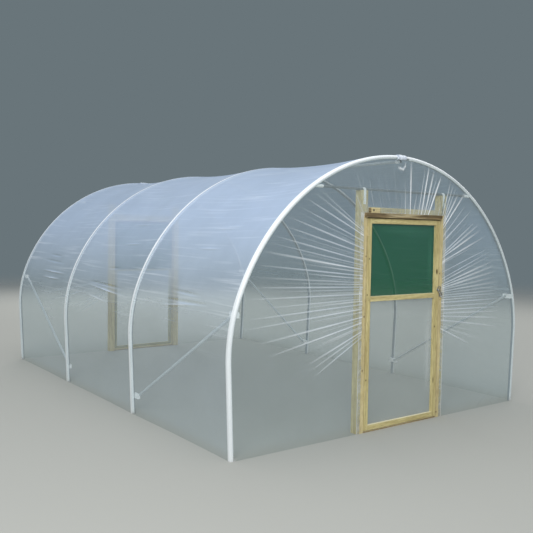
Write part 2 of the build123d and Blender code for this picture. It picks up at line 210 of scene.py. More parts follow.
def blownPolythene(name, haze, creaseHazeAndSheen, body, gathered=False):
    # blown polythene film, clear but faintly milky: glossy, whiter at a slant, with a painted sky reflection
    # where it lies level and painted highlights along every crease
    f = filmTone
    material, add = newMaterial(name)
    coords = add("TexCoord")
    place = add("SeparateXYZ", {"Vector": (coords, "Object")})
    crease = add("Attribute", attribute_name="crease")
    slant = add("LayerWeight", {"Blend": 0.3})
    mottle = add("TexNoise", {
        "Vector": (coords, "Object"), "Scale": 1000 / f["mottleMm"], "Detail": 3.0, "Roughness": 0.55})
    hazeAndSheen = add("MapRange", {
        "Value": mottle, "From Min": 0.3, "From Max": 0.7, "To Min": haze - 0.03, "To Max": haze + 0.03})
    hazeAndSheen = add("Math", {0: (slant, "Facing"), 1: f["grazingHaze"], 2: hazeAndSheen}, operation="MULTIPLY_ADD")
    # painted sky reflection: where a sheet lies level it is made milkier and bluish, as if it reflected the
    # sky
    facing = add("NewGeometry")
    facing = add("SeparateXYZ", {"Vector": (facing, "Normal")})
    facing = add("Math", {0: (facing, "Z")}, operation="ABSOLUTE")
    upward = add("MapRange", {"Value": facing, "From Min": 0.05, "From Max": 0.75},
                 interpolation_type="SMOOTHSTEP")
    hazeAndSheen = add("Math", {0: upward, 1: f["paintedSkyAmount"], 2: hazeAndSheen}, operation="MULTIPLY_ADD")
    white, surface = (crease, "Fac"), {"Roughness": 0.32, "IOR": 1.5}
    if gathered:
        # fine pleats between the modelled ones, along the fan, so they follow the sheet's own measures:
        # bumped, with a painted highlight along each
        along, share, gather = (
            add("Attribute", attribute_name=key) for key in ("alongFrame", "fanShare", "gather"))
        fan = add("CombineXYZ", {"X": (along, "Fac"), "Y": (share, "Fac")})
        fan = add("VectorMath", {0: fan, 1: (500 / f["finePleatMm"], 0.9, 1.0)}, operation="MULTIPLY")
        pleat = add("TexNoise", {"Vector": fan, "Scale": 1.0, "Detail": 1.5})
        line = add("MapRange", {"Value": pleat, "From Min": 0.55, "From Max": 0.70, "To Max": 0.6})
        line = add("Math", {0: line, 1: (gather, "Fac")}, operation="MULTIPLY")
        white = add("Math", {0: line, 1: (crease, "Fac")}, operation="ADD", use_clamp=True)
        height = add("Math", {0: pleat, 1: (gather, "Fac")}, operation="MULTIPLY")
        surface["Normal"] = add("Bump", {"Height": height, "Strength": 0.7, "Distance": 0.012})
    # the crease value adds painted highlights along ridges, and below nought painted shade drawn as clearer
    # film
    hazeAndSheen = add("Math", {0: white, 1: creaseHazeAndSheen, 2: hazeAndSheen}, operation="MULTIPLY_ADD", use_clamp=True)
    soil = add("MapRange", {
        "Value": (place, "Z"), "From Min": 0.0, "From Max": f["dustHeight"], "To Min": 0.55, "To Max": 0.0},
        interpolation_type="SMOOTHSTEP")
    colour = linear(body)
    for cover, tone in ((soil, "dust"), (upward, "paintedSkyColour"), (white, "creaseHazeAndSheenColour")):
        colour = add("Mix", {"Factor": cover, "A": colour, "B": linear(f[tone])}, data_type="RGBA")
    sheet = add("BsdfPrincipled", {"Base Color": colour, **surface})
    clear = add("BsdfTransparent", {"Color": linear(f["clearTint"])})
    add("OutputMaterial", {"Surface": add("MixShader", {0: hazeAndSheen, 1: clear, 2: sheet})})
    return material


# sawn softwood: pale green where it was treated, brown where it has weathered
timberTone = {
    "fresh": ("#d2c68f", "#b3a470", "#6d5d36"),
    "post": ("#d3c595", "#b5a67a", "#756542"),
    "weathered": ("#857350", "#5f4f35", "#2a2015"),
    "soiled": ("#a8946a", "#8a764e", "#574528"),
    "knot": "#4b3619",
    "paintedTopLight": "#efe8cc",
    "worn": "#cdc09a",
    "fleckMm": 22,
    "ringMm": 9,
    "fibreMm": 1.6,
    "stretch": 0.05,
    "stileWidth": 0.045,
}


def sawnSoftwood(name, tones, lying, knots=(), worn=0.0):
    # sawn softwood: soft bands of grain along each board, darker streaks and a few knots, no gloss; faces
    # turned up painted paler, as lit from above
    # lying: 0 for upright boards, 1 for level ones, or (middle, half width) of level ones between stiles
    t = timberTone
    material, add = newMaterial(name)
    coords = add("TexCoord")
    place = add("SeparateXYZ", {"Vector": (coords, "Object")})
    upright = add("VectorMath", {0: (coords, "Object"), 1: (1.0, 1.0, t["stretch"])}, operation="MULTIPLY")
    level = add("VectorMath", {0: (coords, "Object"), 1: (t["stretch"], 1.0, 1.0)}, operation="MULTIPLY")
    middle, halfWidth = lying if isinstance(lying, tuple) else (0.0, 1000.0 * lying)
    offset = add("Math", {0: (place, "X"), 1: middle}, operation="SUBTRACT")
    offset = add("Math", {0: offset}, operation="ABSOLUTE")
    isLevel = add("Math", {0: offset, 1: halfWidth}, operation="LESS_THAN")
    grain = add("Mix", {"Factor": isLevel, "A": upright, "B": level}, data_type="VECTOR")
    rings = add("TexNoise", {
        "Vector": grain, "Scale": 1000 / t["ringMm"] / 2, "Detail": 2.0, "Distortion": 0.6})
    fibre = add("TexNoise", {"Vector": grain, "Scale": 1000 / t["fibreMm"] / 2, "Detail": 2.0})
    patch = add("TexNoise", {"Vector": (coords, "Object"), "Scale": 7.0, "Detail": 2.0})
    light, mid, dark = (linear(tone) for tone in tones)
    layers = [      # what covers the light tone, one over the other, and the tone it brings
        (add("MapRange", {"Value": rings, "From Min": 0.38, "From Max": 0.66}), mid),
        (add("MapRange", {"Value": fibre, "From Min": 0.50, "From Max": 0.76, "To Max": 0.8}), dark),
        (add("MapRange", {"Value": patch, "From Min": 0.5, "From Max": 0.75, "To Max": 0.5}), mid)]
    for x, z, wide, tall in knots:
        apart = add("VectorMath", {0: (coords, "Object"), 1: (x, 0.0, z)}, operation="SUBTRACT")
        apart = add("VectorMath", {0: apart, 1: (2 / wide, 0.0, 2 / tall)}, operation="MULTIPLY")
        apart = add("VectorMath", {"Vector": apart}, operation="LENGTH")
        spot = add("MapRange", {
            "Value": apart, "From Min": 0.45, "From Max": 1.0, "To Min": 0.85, "To Max": 0.0},
            interpolation_type="SMOOTHSTEP")
        layers.append((spot, linear(t["knot"])))
    if worn:
        fleck = add("TexNoise", {"Vector": grain, "Scale": 1000 / t["fleckMm"], "Detail": 3.0})
        fleck = add("MapRange", {"Value": fleck, "From Min": 0.52, "From Max": 0.64, "To Max": worn})
        layers.append((fleck, linear(t["worn"])))
    # painted light: faces turned up are paler, as if lit from above
    upper = add("NewGeometry")
    upper = add("SeparateXYZ", {"Vector": (upper, "Normal")})
    upper = add("MapRange", {"Value": (upper, "Z"), "From Min": 0.3, "From Max": 0.8, "To Max": 0.7})
    colour = light
    for cover, tone in layers + [(upper, linear(t["paintedTopLight"]))]:
        colour = add("Mix", {"Factor": cover, "A": colour, "B": tone}, data_type="RGBA")
    bump = add("Bump", {"Height": fibre, "Strength": 0.35, "Distance": 0.0008})
    wood = add("BsdfPrincipled", {"Base Color": colour, "Roughness": 0.78, "Normal": bump})
    add("OutputMaterial", {"Surface": wood})
    return material


def rolledMetal(name, light, dark, metallic, roughness, patchMm):
    # zinc, cast alloy or painted steel: two near tones in soft patches, with rubbed and dull places
    material, add = newMaterial(name)
    coords = add("TexCoord")
    patch = add("TexVoronoi", {"Vector": (coords, "Object"), "Scale": 1000 / patchMm, "Randomness": 1.0})
    cloud = add("TexNoise", {"Vector": (coords, "Object"), "Scale": 1000 / patchMm / 3, "Detail": 3.0})
    tone = add("Math", {0: (patch, "Color"), 1: cloud}, operation="MULTIPLY")
    colour = add("Mix", {"Factor": tone, "A": linear(light), "B": linear(dark)}, data_type="RGBA")
    dull = add("MapRange", {
        "Value": cloud, "From Min": 0.3, "From Max": 0.7, "To Min": roughness - 0.08,
        "To Max": roughness + 0.10})
    bump = add("Bump", {"Height": cloud, "Strength": 0.12, "Distance": 0.0004})
    metal = add("BsdfPrincipled", {
        "Base Color": colour, "Metallic": metallic, "Roughness": dull, "Normal": bump})
    add("OutputMaterial", {"Surface": metal})
    return material


foamTone = {"fresh": "#f4f6f7", "aged": "#e2e6e8"}


def foamTape():
    # closed-cell foam tape, extruded: matt white with fine pores and a little grey where it has aged
    material, add = newMaterial("closedCellFoamTape")
    coords = add("TexCoord")
    pores = add("TexNoise", {"Vector": (coords, "Object"), "Scale": 420.0, "Detail": 2.0})
    age = add("TexNoise", {"Vector": (coords, "Object"), "Scale": 5.0, "Detail": 4.0})
    grey = add("MapRange", {"Value": age, "From Min": 0.45, "From Max": 0.8})
    colour = add("Mix", {
        "Factor": grey, "A": linear(foamTone["fresh"]), "B": linear(foamTone["aged"])}, data_type="RGBA")
    bump = add("Bump", {"Height": pores, "Strength": 0.2, "Distance": 0.0003})
    foam = add("BsdfPrincipled", {"Base Color": colour, "Roughness": 0.7, "Normal": bump})
    add("OutputMaterial", {"Surface": foam})
    return material


nettingTone = {
    "thread": "#00482e",
    "gap": "#08784b",
    # crease: a paler green, the painted sheen along the netting's folds
    "crease": "#3d7a60",
    "pitchMm": 6,            # real netting is nearer 2 mm, drawn coarser so that it shows
    "threadCover": 0.90,
    "gapCover": 0.66,
}


def wovenNetting():
    # woven polyethylene shade netting: flat green tapes with small open gaps, a dull sheen
    n = nettingTone
    material, add = newMaterial("wovenShadeNetting")
    coords = add("TexCoord")
    scale = math.pi / 10 / (n["pitchMm"] / 1000)
    across, up = (add("TexWave", {"Vector": (coords, "Object"), "Scale": scale}, bands_direction=direction)
                  for direction in ("X", "Z"))
    weave = add("Math", {0: (across, "Fac"), 1: (up, "Fac")}, operation="MULTIPLY")
    colour = add("Mix", {"Factor": weave, "A": linear(n["thread"]), "B": linear(n["gap"])}, data_type="RGBA")
    # painted sheen along the folds
    crease = add("Attribute", attribute_name="crease")
    colour = add("Mix", {"Factor": (crease, "Fac"), "A": colour, "B": linear(n["crease"])}, data_type="RGBA")
    cover = add("MapRange", {"Value": weave, "To Min": n["threadCover"], "To Max": n["gapCover"]})
    netting = add("BsdfPrincipled", {
        "Base Color": colour, "Roughness": 0.7, "Specular IOR Level": 0.2, "Alpha": cover})
    add("OutputMaterial", {"Surface": netting})
    return material


def dress(material, *names):
    for name in names:
        cadNodes[name].data.materials.clear()
        cadNodes[name].data.materials.append(material)


zincTube = rolledMetal("hotDipGalvanisedTube", "#d9dee1", "#b4bbbf", 0.20, 0.42, 14)
hoopTube = rolledMetal("greyedGalvanisedTube", "#a4acb2", "#7b858c", 0.20, 0.42, 14)
# the crop bars' tube is painted darker than the other tubes: painted shade, for the shade under the film
# where they lie
shadedTube = rolledMetal("dulledGalvanisedTube", "#8e969a", "#5f686c", 0.25, 0.42, 10)
# the clamps' alloy is painted near white: a painted glint, as of the sun on them
alloyPaintedGlint = rolledMetal("castAluminiumAlloy", "#fdfdfd", "#eceff1", 0.05, 0.34, 9)
zincPlate = rolledMetal("yellowPassivatedPlate", "#cdbf8e", "#a2946a", 0.05, 0.5, 6)
# zinc plate for the latches and staples: its near-white patches are painted glints, its dark patches painted
# shade
zincGlintAndShade = rolledMetal("brightZincPlate", "#eceef0", "#4e5154", 0.55, 0.3, 7)
darkSteel = rolledMetal("rustedSteel", "#5a4a38", "#382a1e", 0.3, 0.6, 3)
whiteCoat = rolledMetal("whitePowderCoatedSteel", "#f2f4f4", "#dfe3e4", 0.0, 0.5, 20)
dress(shadedTube, "crop_bar_front", "crop_bar_rear")
dress(hoopTube, "hoop_front", "hoop_second", "hoop_third", "hoop_rear")
dress(zincTube, "ridge_tube", "brace_front_left", "brace_front_right", "brace_rear_left", "brace_rear_right")
dress(alloyPaintedGlint, "ridge_clamps", "crop_bar_clamps", "brace_clamps")
dress(whiteCoat, "post_straps")
dress(zincPlate, "hinge_plates", "front_door_hinges", "rear_door_hinges")
dress(zincGlintAndShade, "front_door_latch", "rear_door_latch")


# an end wall's own measures: x runs to the right seen from outside, "out" away from the tunnel
def measure(sign, hoopY, node):
    low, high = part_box(node)
    left, right = sorted((-sign * low.x, -sign * high.x))
    return SimpleNamespace(left=left, right=right, middle=(left + right) / 2, half=(right - left) / 2,
                           bottom=low.z, top=high.z, out=max(sign * low.y, sign * high.y) - sign * hoopY)


def readEnd(end):
    sign = -1.0 if end == "front" else 1.0
    hoopLow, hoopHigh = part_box(f"hoop_{end}")
    hoopY = (hoopLow.y + hoopHigh.y) / 2
    posts, lintel, strips, batten, hinges, leaf = (measure(sign, hoopY, f"{end}_{part}") for part in (
        "door_posts", "lintel", "cover_strips", "batten", "door_hinges", "door_frame"))
    return SimpleNamespace(
        end=end, sign=sign, hoopY=hoopY, doorX=posts.middle, postHalf=posts.half, timberOut=posts.out,
        postInner=lintel.half, postMiddle=(posts.half + lintel.half) / 2, lintelBottom=lintel.bottom,
        strapFoot=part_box("post_straps")[0].z, stripBottom=strips.bottom, stripTop=strips.top,
        stripLeft=strips.left, stripRight=strips.right, stripOut=strips.out,
        batten=batten, hinges=hinges, leaf=leaf)


def fromEnd(side, x, out, z):
    # an end wall's own measures as points of the frame
    return np.stack(np.broadcast_arrays(-side.sign * x, side.hoopY + side.sign * out, z), -1)


ends = {end: readEnd(end) for end in ("front", "rear")}


# knots that the photograph shows on the front door frame: x, z, width and height in metres
frontKnots = {
    "posts": [(-0.3775, 1.405, 0.014, 0.022), (-0.376, 1.57, 0.012, 0.018), (-0.384, 0.93, 0.018, 0.024),
              (0.515, 0.045, 0.020, 0.022), (0.512, 1.25, 0.012, 0.020), (-0.392, 0.50, 0.014, 0.030)],
    "leaf": [(0.476, 1.268, 0.032, 0.060), (0.466, 0.795, 0.018, 0.022), (0.463, 0.33, 0.014, 0.070),
             (-0.355, 1.10, 0.014, 0.02), (-0.340, 1.385, 0.014, 0.018), (-0.348, 0.42, 0.016, 0.022)],
}
rearKnots = {
    "posts": [(-0.452, 1.31, 0.018, 0.022), (0.463, 0.84, 0.016, 0.020)],
    "leaf": [(0.402, 1.12, 0.020, 0.030), (-0.408, 0.61, 0.018, 0.022)],
}


def dressTimber():
    for end, knots in (("front", frontKnots), ("rear", rearKnots)):
        low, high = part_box(f"{end}_door_frame")
        between = ((low.x + high.x) / 2, (high.x - low.x) / 2 - timberTone["stileWidth"])
        dress(sawnSoftwood(f"{end}PostSawnPine", timberTone["post"], 0, knots["posts"]), f"{end}_door_posts")
        dress(sawnSoftwood(f"{end}LeafSawnPine", timberTone["fresh"], between, knots["leaf"]),
              f"{end}_door_frame")
    dress(sawnSoftwood("levelSawnPine", timberTone["post"], 1),
          "front_lintel", "rear_lintel", "front_cover_strips", "rear_cover_strips")
    dress(sawnSoftwood("weatheredSawnPine", timberTone["weathered"], 1, worn=0.6),
          "front_batten", "rear_batten")
    dress(sawnSoftwood("soiledSawnPine", timberTone["soiled"], 1), "front_sill", "rear_sill")


dressTimber()
print("steel, tape and timber dressed")


# the line that every hoop follows, in metres: a leaning leg, a haunch arc and the crown arc
hoopLine = {
    "haunchRadius": 1.2223,
    "crownRadius": 1.6734,
    "haunchCentreZ": 0.6964,
    "haunchDeg": 21.9,
    "leanDeg": 2.56,
}


def hoopSpans():
    # lengths of the crown, the haunch and the leg along half a hoop
    haunch, lean = math.radians(hoopLine["haunchDeg"]), math.radians(hoopLine["leanDeg"])
    legTop = hoopLine["haunchCentreZ"] - hoopLine["haunchRadius"] * math.sin(lean)
    return (hoopLine["crownRadius"] * (math.pi / 2 - haunch), hoopLine["haunchRadius"] * (haunch + lean),
            legTop / math.cos(lean))


def alongHoop(run):
    # places on a hoop's line and the outward directions there; run starts at the crown, left is negative
    crown, haunch = hoopSpans()[:2]
    turn, lean = math.radians(hoopLine["haunchDeg"]), math.radians(hoopLine["leanDeg"])
    big, small = hoopLine["crownRadius"], hoopLine["haunchRadius"]
    away = np.abs(run)
    onCrown = away < crown
    angle = np.where(onCrown, math.pi / 2 - away / big, np.maximum(turn - (away - crown) / small, -lean))
    radius = np.where(onCrown, big, small)
    centreX = np.where(onCrown, 0.0, (big - small) * math.cos(turn))
    centreZ = hoopLine["haunchCentreZ"] - np.where(onCrown, (big - small) * math.sin(turn), 0.0)
    down = np.maximum(away - crown - haunch, 0.0)
    side = np.where(run < 0, -1.0, 1.0)
    x = side * (centreX + radius * np.cos(angle) - down * math.sin(lean))
    z = centreZ + radius * np.sin(angle) - down * math.cos(lean)
    return x, z, side * np.cos(angle), np.sin(angle)


halfHoop = sum(hoopSpans())
hoopPlaces = np.linspace(ends["front"].hoopY, ends["rear"].hoopY, 4)
tapeRadius = ends["front"].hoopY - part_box("hoop_tape")[0].y


def gridMesh(name, grids, material, facings, values):
    # smooth sheets through rows and columns of points, each turned to face its own way, with named values
    points, quads = [], []
    for grid, facing in zip(grids, facings):
        rows, columns = grid.shape[:2]
        corner = np.arange(rows * columns).reshape(rows, columns)
        around = np.stack([corner[:-1, :-1], corner[1:, :-1], corner[1:, 1:], corner[:-1, 1:]], -1)
        around = around.reshape(-1, 4)
        flat = grid.reshape(-1, 3)
        normals = np.cross(flat[around[:, 2]] - flat[around[:, 0]], flat[around[:, 3]] - flat[around[:, 1]])
        wanted = np.broadcast_to(np.asarray(facing, float), grid.shape).reshape(-1, 3)[around[:, 0]]
        if (normals * wanted).sum() < 0:
            around = around[:, ::-1]
        quads.append(around + sum(len(p) for p in points))
        points.append(flat)
    mesh = newMesh(name, np.concatenate(points).tolist(), np.concatenate(quads).tolist(), material)
    mesh.shade_smooth()
    for key, numbers in values.items():
        attribute = mesh.attributes.new(key, "FLOAT", "POINT")
        attribute.data.foreach_set("value", np.ascontiguousarray(numbers, np.float32).ravel())
    return addObject(name, mesh)


def hoopBand(runs, turns, radius, hoopY, toEnd):
    # points round a hoop's line and how each faces; turns go from straight outwards to the tunnel's end
    x, z, outX, outZ = alongHoop(runs)
    facing = np.stack([outX * np.cos(turns), toEnd * np.sin(turns), outZ * np.cos(turns)], -1)
    return np.stack([x, np.full_like(x, hoopY), z], -1) + facing * radius[..., None], facing


# foam tape: stuck round the outer side of every hoop, and further round the face of the two end ones
tapeSettings = {
    "thickness": 0.0024,
    "endReach": (-92, 138),      # degrees from straight outwards, towards the tunnel's end
    "middleReach": (-96, 96),
    "turnSteps": 15,
    "runStep": 0.022,
    "gap": {"front": (-0.052, 0.098), "rear": (-0.098, 0.052), "middle": (-0.045, 0.045)},
    "slack": 0.0003,
}


def addTape():
    s = tapeSettings
    random = np.random.default_rng(5)
    grids, facings = [], []
    for number, hoopY in enumerate(hoopPlaces):
        kind = {0: "front", 3: "rear"}.get(number, "middle")
        toEnd = -1.0 if kind == "front" else 1.0
        low, high = s["middleReach"] if kind == "middle" else s["endReach"]
        for start, end in ((-halfHoop, s["gap"][kind][0]), (s["gap"][kind][1], halfHoop)):
            run = np.linspace(start, end, round((end - start) / s["runStep"]) + 1)
            # the first and last rows close the band's two cut ends, the first and last columns its edges
            run = np.concatenate([run[:1], run, run[-1:]])
            turn = np.radians(np.concatenate([[low], np.linspace(low, high, s["turnSteps"]), [high]]))
            runs, turns = np.meshgrid(run, turn, indexing="ij")
            radius = np.full(runs.shape, tapeRadius) + random.uniform(-1, 0, (len(run), 1)) * s["slack"]
            radius[[0, -1], :] -= s["thickness"]
            radius[:, [0, -1]] = tapeRadius - s["thickness"]
            grid, facing = hoopBand(runs, turns, radius, hoopY, toEnd)
            grid[..., 2] = np.maximum(grid[..., 2], 0.0)
            grids.append(grid)
            facings.append(facing)
    tape = gridMesh("hoopFoamTape", grids, foamTape(), facings, {})
    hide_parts("hoop_tape")
    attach(tape, "tunnel")


addTape()
print("hoops taped")


def newTree(name, sizes):
    # an empty geometry tree whose inputs have names, kinds and starting values
    tree = bpy.data.node_groups.new(name, "GeometryNodeTree")
    for way in ("INPUT", "OUTPUT"):
        tree.interface.new_socket("Geometry", in_out=way, socket_type="NodeSocketGeometry")
    for label, (kind, value) in sizes.items():
        socket = tree.interface.new_socket(label, in_out="INPUT", socket_type="NodeSocket" + kind)
        if value is not None:
            socket.default_value = value
    add = partial(addNode, tree)
    return tree, add, add("NodeGroupInput")


def endTree(add, geometry, entry):
    # every tree ends in real geometry with the material that was asked for
    real = add("RealizeInstances", {"Geometry": geometry})
    done = add("SetMaterial", {"Geometry": real, "Material": (entry, "Material")})
    add("NodeGroupOutput", {"Geometry": done})


def runTree(piece, tree, values):
    # works the tree on a piece and keeps the plain mesh that it gives
    modifier = piece.modifiers.new(tree.name, "NODES")
    modifier.node_group = tree
    for item in tree.interface.items_tree:
        if item.in_out == "INPUT" and item.name in values:
            modifier[item.identifier] = values[item.name]
    graph = bpy.context.evaluated_depsgraph_get()
    made = bpy.data.meshes.new_from_object(
        piece.evaluated_get(graph), preserve_all_data_layers=True, depsgraph=graph)
    piece.modifiers.remove(modifier)
    made.name = piece.name
    piece.data = made


# cover: one sheet over the four hoops, slack between them, with the wrinkles of the side bays
coverSettings = {
    "lift": 0.0012,
    "crownSag": 0.030,
    "footSag": 0.008,
    "stepsPerBay": 34,
    "besideHoop": (0.0125, 0.0185),
    "overTape": 0.85,
    "fineRun": (0.78, 2.26),
    "fineStep": 0.0065,
    "plainStep": 0.026,
    "waveHeight": 0.0022,
    "waveMm": 420,
    "wrinkleWidth": 0.0085,
    # streaks: fine white lines of small wrinkles, painted highlights, strongest beside the hoops
    "streaks": 0.16,
    "hoopStreaks": 0.42,
    "streakReach": 0.34,         # how far from a hoop its streaks fade, in metres
    "streakBand": (1.95, 0.35),  # run from the crown where they are strongest, and how far they spread
    "streakEnd": (3.0, 0.8),     # run where all streaks have gone, and the length they take
    "onTape": 0.013,
    "streakScale": (0.55, 1.3),
}
# wrinkles on the left side: y at both ends, run from the crown at both ends, rise, whiteness (a painted
# highlight on light wrinkles, painted shade below nought on dark ones)
coverWrinkles = [
    (1.70, 1.28, -1.828, -1.845, -0.003, -0.20),
    (1.80, 1.10, -1.894, -1.923, -0.003, -0.20),
    (1.74, 0.92, -2.023, -2.041, 0.004, 0.45),
    (1.68, 1.06, -2.097, -2.105, 0.004, 0.55),
    (0.34, -0.50, -2.064, -2.094, -0.004, -0.30),
    (0.32, -0.54, -2.098, -2.161, 0.005, 0.40),
    (0.31, -0.21, -2.192, -2.243, 0.003, 0.45),
    (0.00, -0.30, -1.915, -1.902, -0.002, -0.15),
    (-1.34, -1.80, -2.027, -2.046, -0.003, -0.25),
    (-1.26, -1.96, -2.108, -2.103, -0.004, -0.30),
    (-1.22, -1.72, -2.163, -2.120, 0.003, 0.30),
    (-1.45, -1.78, -1.655, -1.651, 0.002, 0.18),
    (-1.48, -1.88, -1.456, -1.453, 0.002, 0.18),
    (0.05, -0.44, -1.415, -1.416, 0.002, 0.15),
    (-0.10, -0.47, -1.652, -1.642, 0.002, 0.15),
    (-1.42, -1.92, -1.057, -1.090, 0.003, 0.25),
    (-1.38, -1.88, -1.086, -1.114, 0.002, 0.22),
    (-1.50, -1.90, -0.834, -0.875, 0.003, 0.25),
    (-1.64, -1.92, -1.433, -1.433, 0.002, 0.15),
    (1.90, 1.35, -1.130, -1.160, 0.002, 0.15),
    (0.45, -0.15, -0.980, -1.010, 0.002, 0.15),
]


def sagTree():
    # lets a sheet hang in between evenly spaced hoops, deepest where it has most slack, with slow waves
    tree, add, entry = newTree("slackBetweenHoops", {
        "Sag": ("Float", 0.03),
        "Bay": ("Float", 1.5),
        "First Hoop": ("Float", -2.3),
        "Wave Height": ("Float", 0.002),
        "Wave Scale": ("Float", 2.4),
        "Material": ("Material", None),
    })
    position = add("InputPosition")
    normal = add("InputNormal")
    slack = add("InputNamedAttribute", {"Name": "slack"}, data_type="FLOAT")
    place = add("SeparateXYZ", {"Vector": position})
    along = add("Math", {0: (place, "Y"), 1: (entry, "First Hoop")}, operation="SUBTRACT")
    bays = add("Math", {0: along, 1: (entry, "Bay")}, operation="DIVIDE")
    share = add("Math", {0: bays}, operation="FRACT")
    rest = add("Math", {0: 1.0, 1: share}, operation="SUBTRACT")
    bow = add("Math", {0: share, 1: rest}, operation="MULTIPLY")
    bow = add("Math", {0: bow, 1: 4.0}, operation="MULTIPLY")
    depth = add("Math", {0: slack, 1: (entry, "Sag")}, operation="MULTIPLY")
    noise = add("TexNoise", {"Vector": position, "Scale": (entry, "Wave Scale"), "Detail": 2.0})
    wave = add("Math", {0: noise, 1: 0.5}, operation="SUBTRACT")
    wave = add("Math", {0: wave, 1: (entry, "Wave Height")}, operation="MULTIPLY")
    inward = add("Math", {0: wave, 1: depth}, operation="SUBTRACT")
    inward = add("Math", {0: inward, 1: bow}, operation="MULTIPLY")
    shift = add("VectorMath", {0: normal, "Scale": inward}, operation="SCALE")
    moved = add("SetPosition", {"Geometry": (entry, "Geometry"), "Offset": shift})
    endTree(add, moved, entry)
    return tree


def stepsBetween(start, end, step):
    return np.linspace(start, end, max(2, round((end - start) / step) + 1))[:-1]


def addCover():
    s = coverSettings
    fineFrom, fineTo = s["fineRun"]
    half = np.concatenate([
        stepsBetween(0.0, fineFrom, s["plainStep"]),
        stepsBetween(fineFrom, fineTo, s["fineStep"]),
        stepsBetween(fineTo, halfHoop, s["plainStep"]), [halfHoop]])
    run = np.concatenate([-half[:0:-1], half])
    frontY, rearY = ends["front"].hoopY, ends["rear"].hoopY
    beside = [hoopY + way * gap for hoopY in hoopPlaces for way in (-1, 1) for gap in s["besideHoop"]]
    y = np.unique(np.clip(np.concatenate([
        np.linspace(frontY, rearY, 3 * s["stepsPerBay"] + 1), beside]), frontY, rearY))
    runs, ys = np.meshgrid(run, y)
    x, z, outX, outZ = alongHoop(runs)
    rise, crease = np.zeros_like(x), np.zeros_like(x)
    mirrored = [(-y0, -y1, -r0, -r1, up, white) for y0, y1, r0, r1, up, white in coverWrinkles]
    # each wrinkle lifts the sheet and puts its painted highlight, for a dark one its painted shade, in the
    # crease value
    for y0, y1, run0, run1, up, white in coverWrinkles + mirrored:
        share = (ys - (y0 + y1) / 2) / abs(y1 - y0) * 2
        line = (run0 + run1) / 2 + (run0 - run1) / (y0 - y1) * (ys - (y0 + y1) / 2)
        width = s["wrinkleWidth"]
        fold = np.exp(-((runs - line) / width) ** 2) * np.clip(1 - share ** 2, 0, 1) ** 1.5
        rise += up * fold
        crease += white * fold
    fromHoop = np.abs(ys[..., None] - hoopPlaces).min(-1)
    onTape = fromHoop < s["onTape"]
    crease = np.where(onTape, np.maximum(crease, s["overTape"]), crease)
    lift = tapeRadius + s["lift"] + rise
    grid = np.stack([x + outX * lift, ys, np.maximum(z + outZ * lift, 0.0)], -1)
    nearCrown = np.clip(1 - np.abs(runs) / halfHoop, 0, 1)
    slack = s["footSag"] / s["crownSag"] + nearCrown ** 0.7
    nearHoop = np.exp(-(fromHoop / s["streakReach"]) ** 2)
    (bandRun, bandSpread), (endRun, endLength) = s["streakBand"], s["streakEnd"]
    middleBand = np.exp(-((np.abs(runs) - bandRun) / bandSpread) ** 2)
    streaks = s["streaks"] + s["hoopStreaks"] * nearHoop * middleBand
    acrossScale, alongScale = s["streakScale"]
    cover = gridMesh("cover", [grid], coverFilm, [np.stack([outX, 0 * outX, outZ], -1)], {
        "crease": crease, "slack": np.clip(slack, 0, 1),
        "alongFrame": runs * acrossScale, "fanShare": ys * alongScale,
        "gather": np.where(onTape, 0.0, streaks) * np.clip((endRun - np.abs(runs)) / endLength, 0, 1)})
    runTree(cover, sagTree(), {
        "Sag": s["crownSag"], "Bay": (rearY - frontY) / 3, "First Hoop": frontY,
        "Wave Height": s["waveHeight"] * 2, "Wave Scale": 1000 / s["waveMm"],
        "Material": coverFilm})
    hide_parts("cover_bay_front", "cover_bay_middle", "cover_bay_rear")
    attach(cover, "tunnel")


coverFilm = blownPolythene("blownPolytheneCover", 0.16, 0.55, "#c3cfd8", gathered=True)
endFilm = blownPolythene("blownPolytheneGathered", 0.13, 0.62, "#bcc7cb", gathered=True)
doorFilm = blownPolythene("blownPolytheneDoor", 0.20, 0.5, "#bcc3c0")
addCover()
print("cover hung")


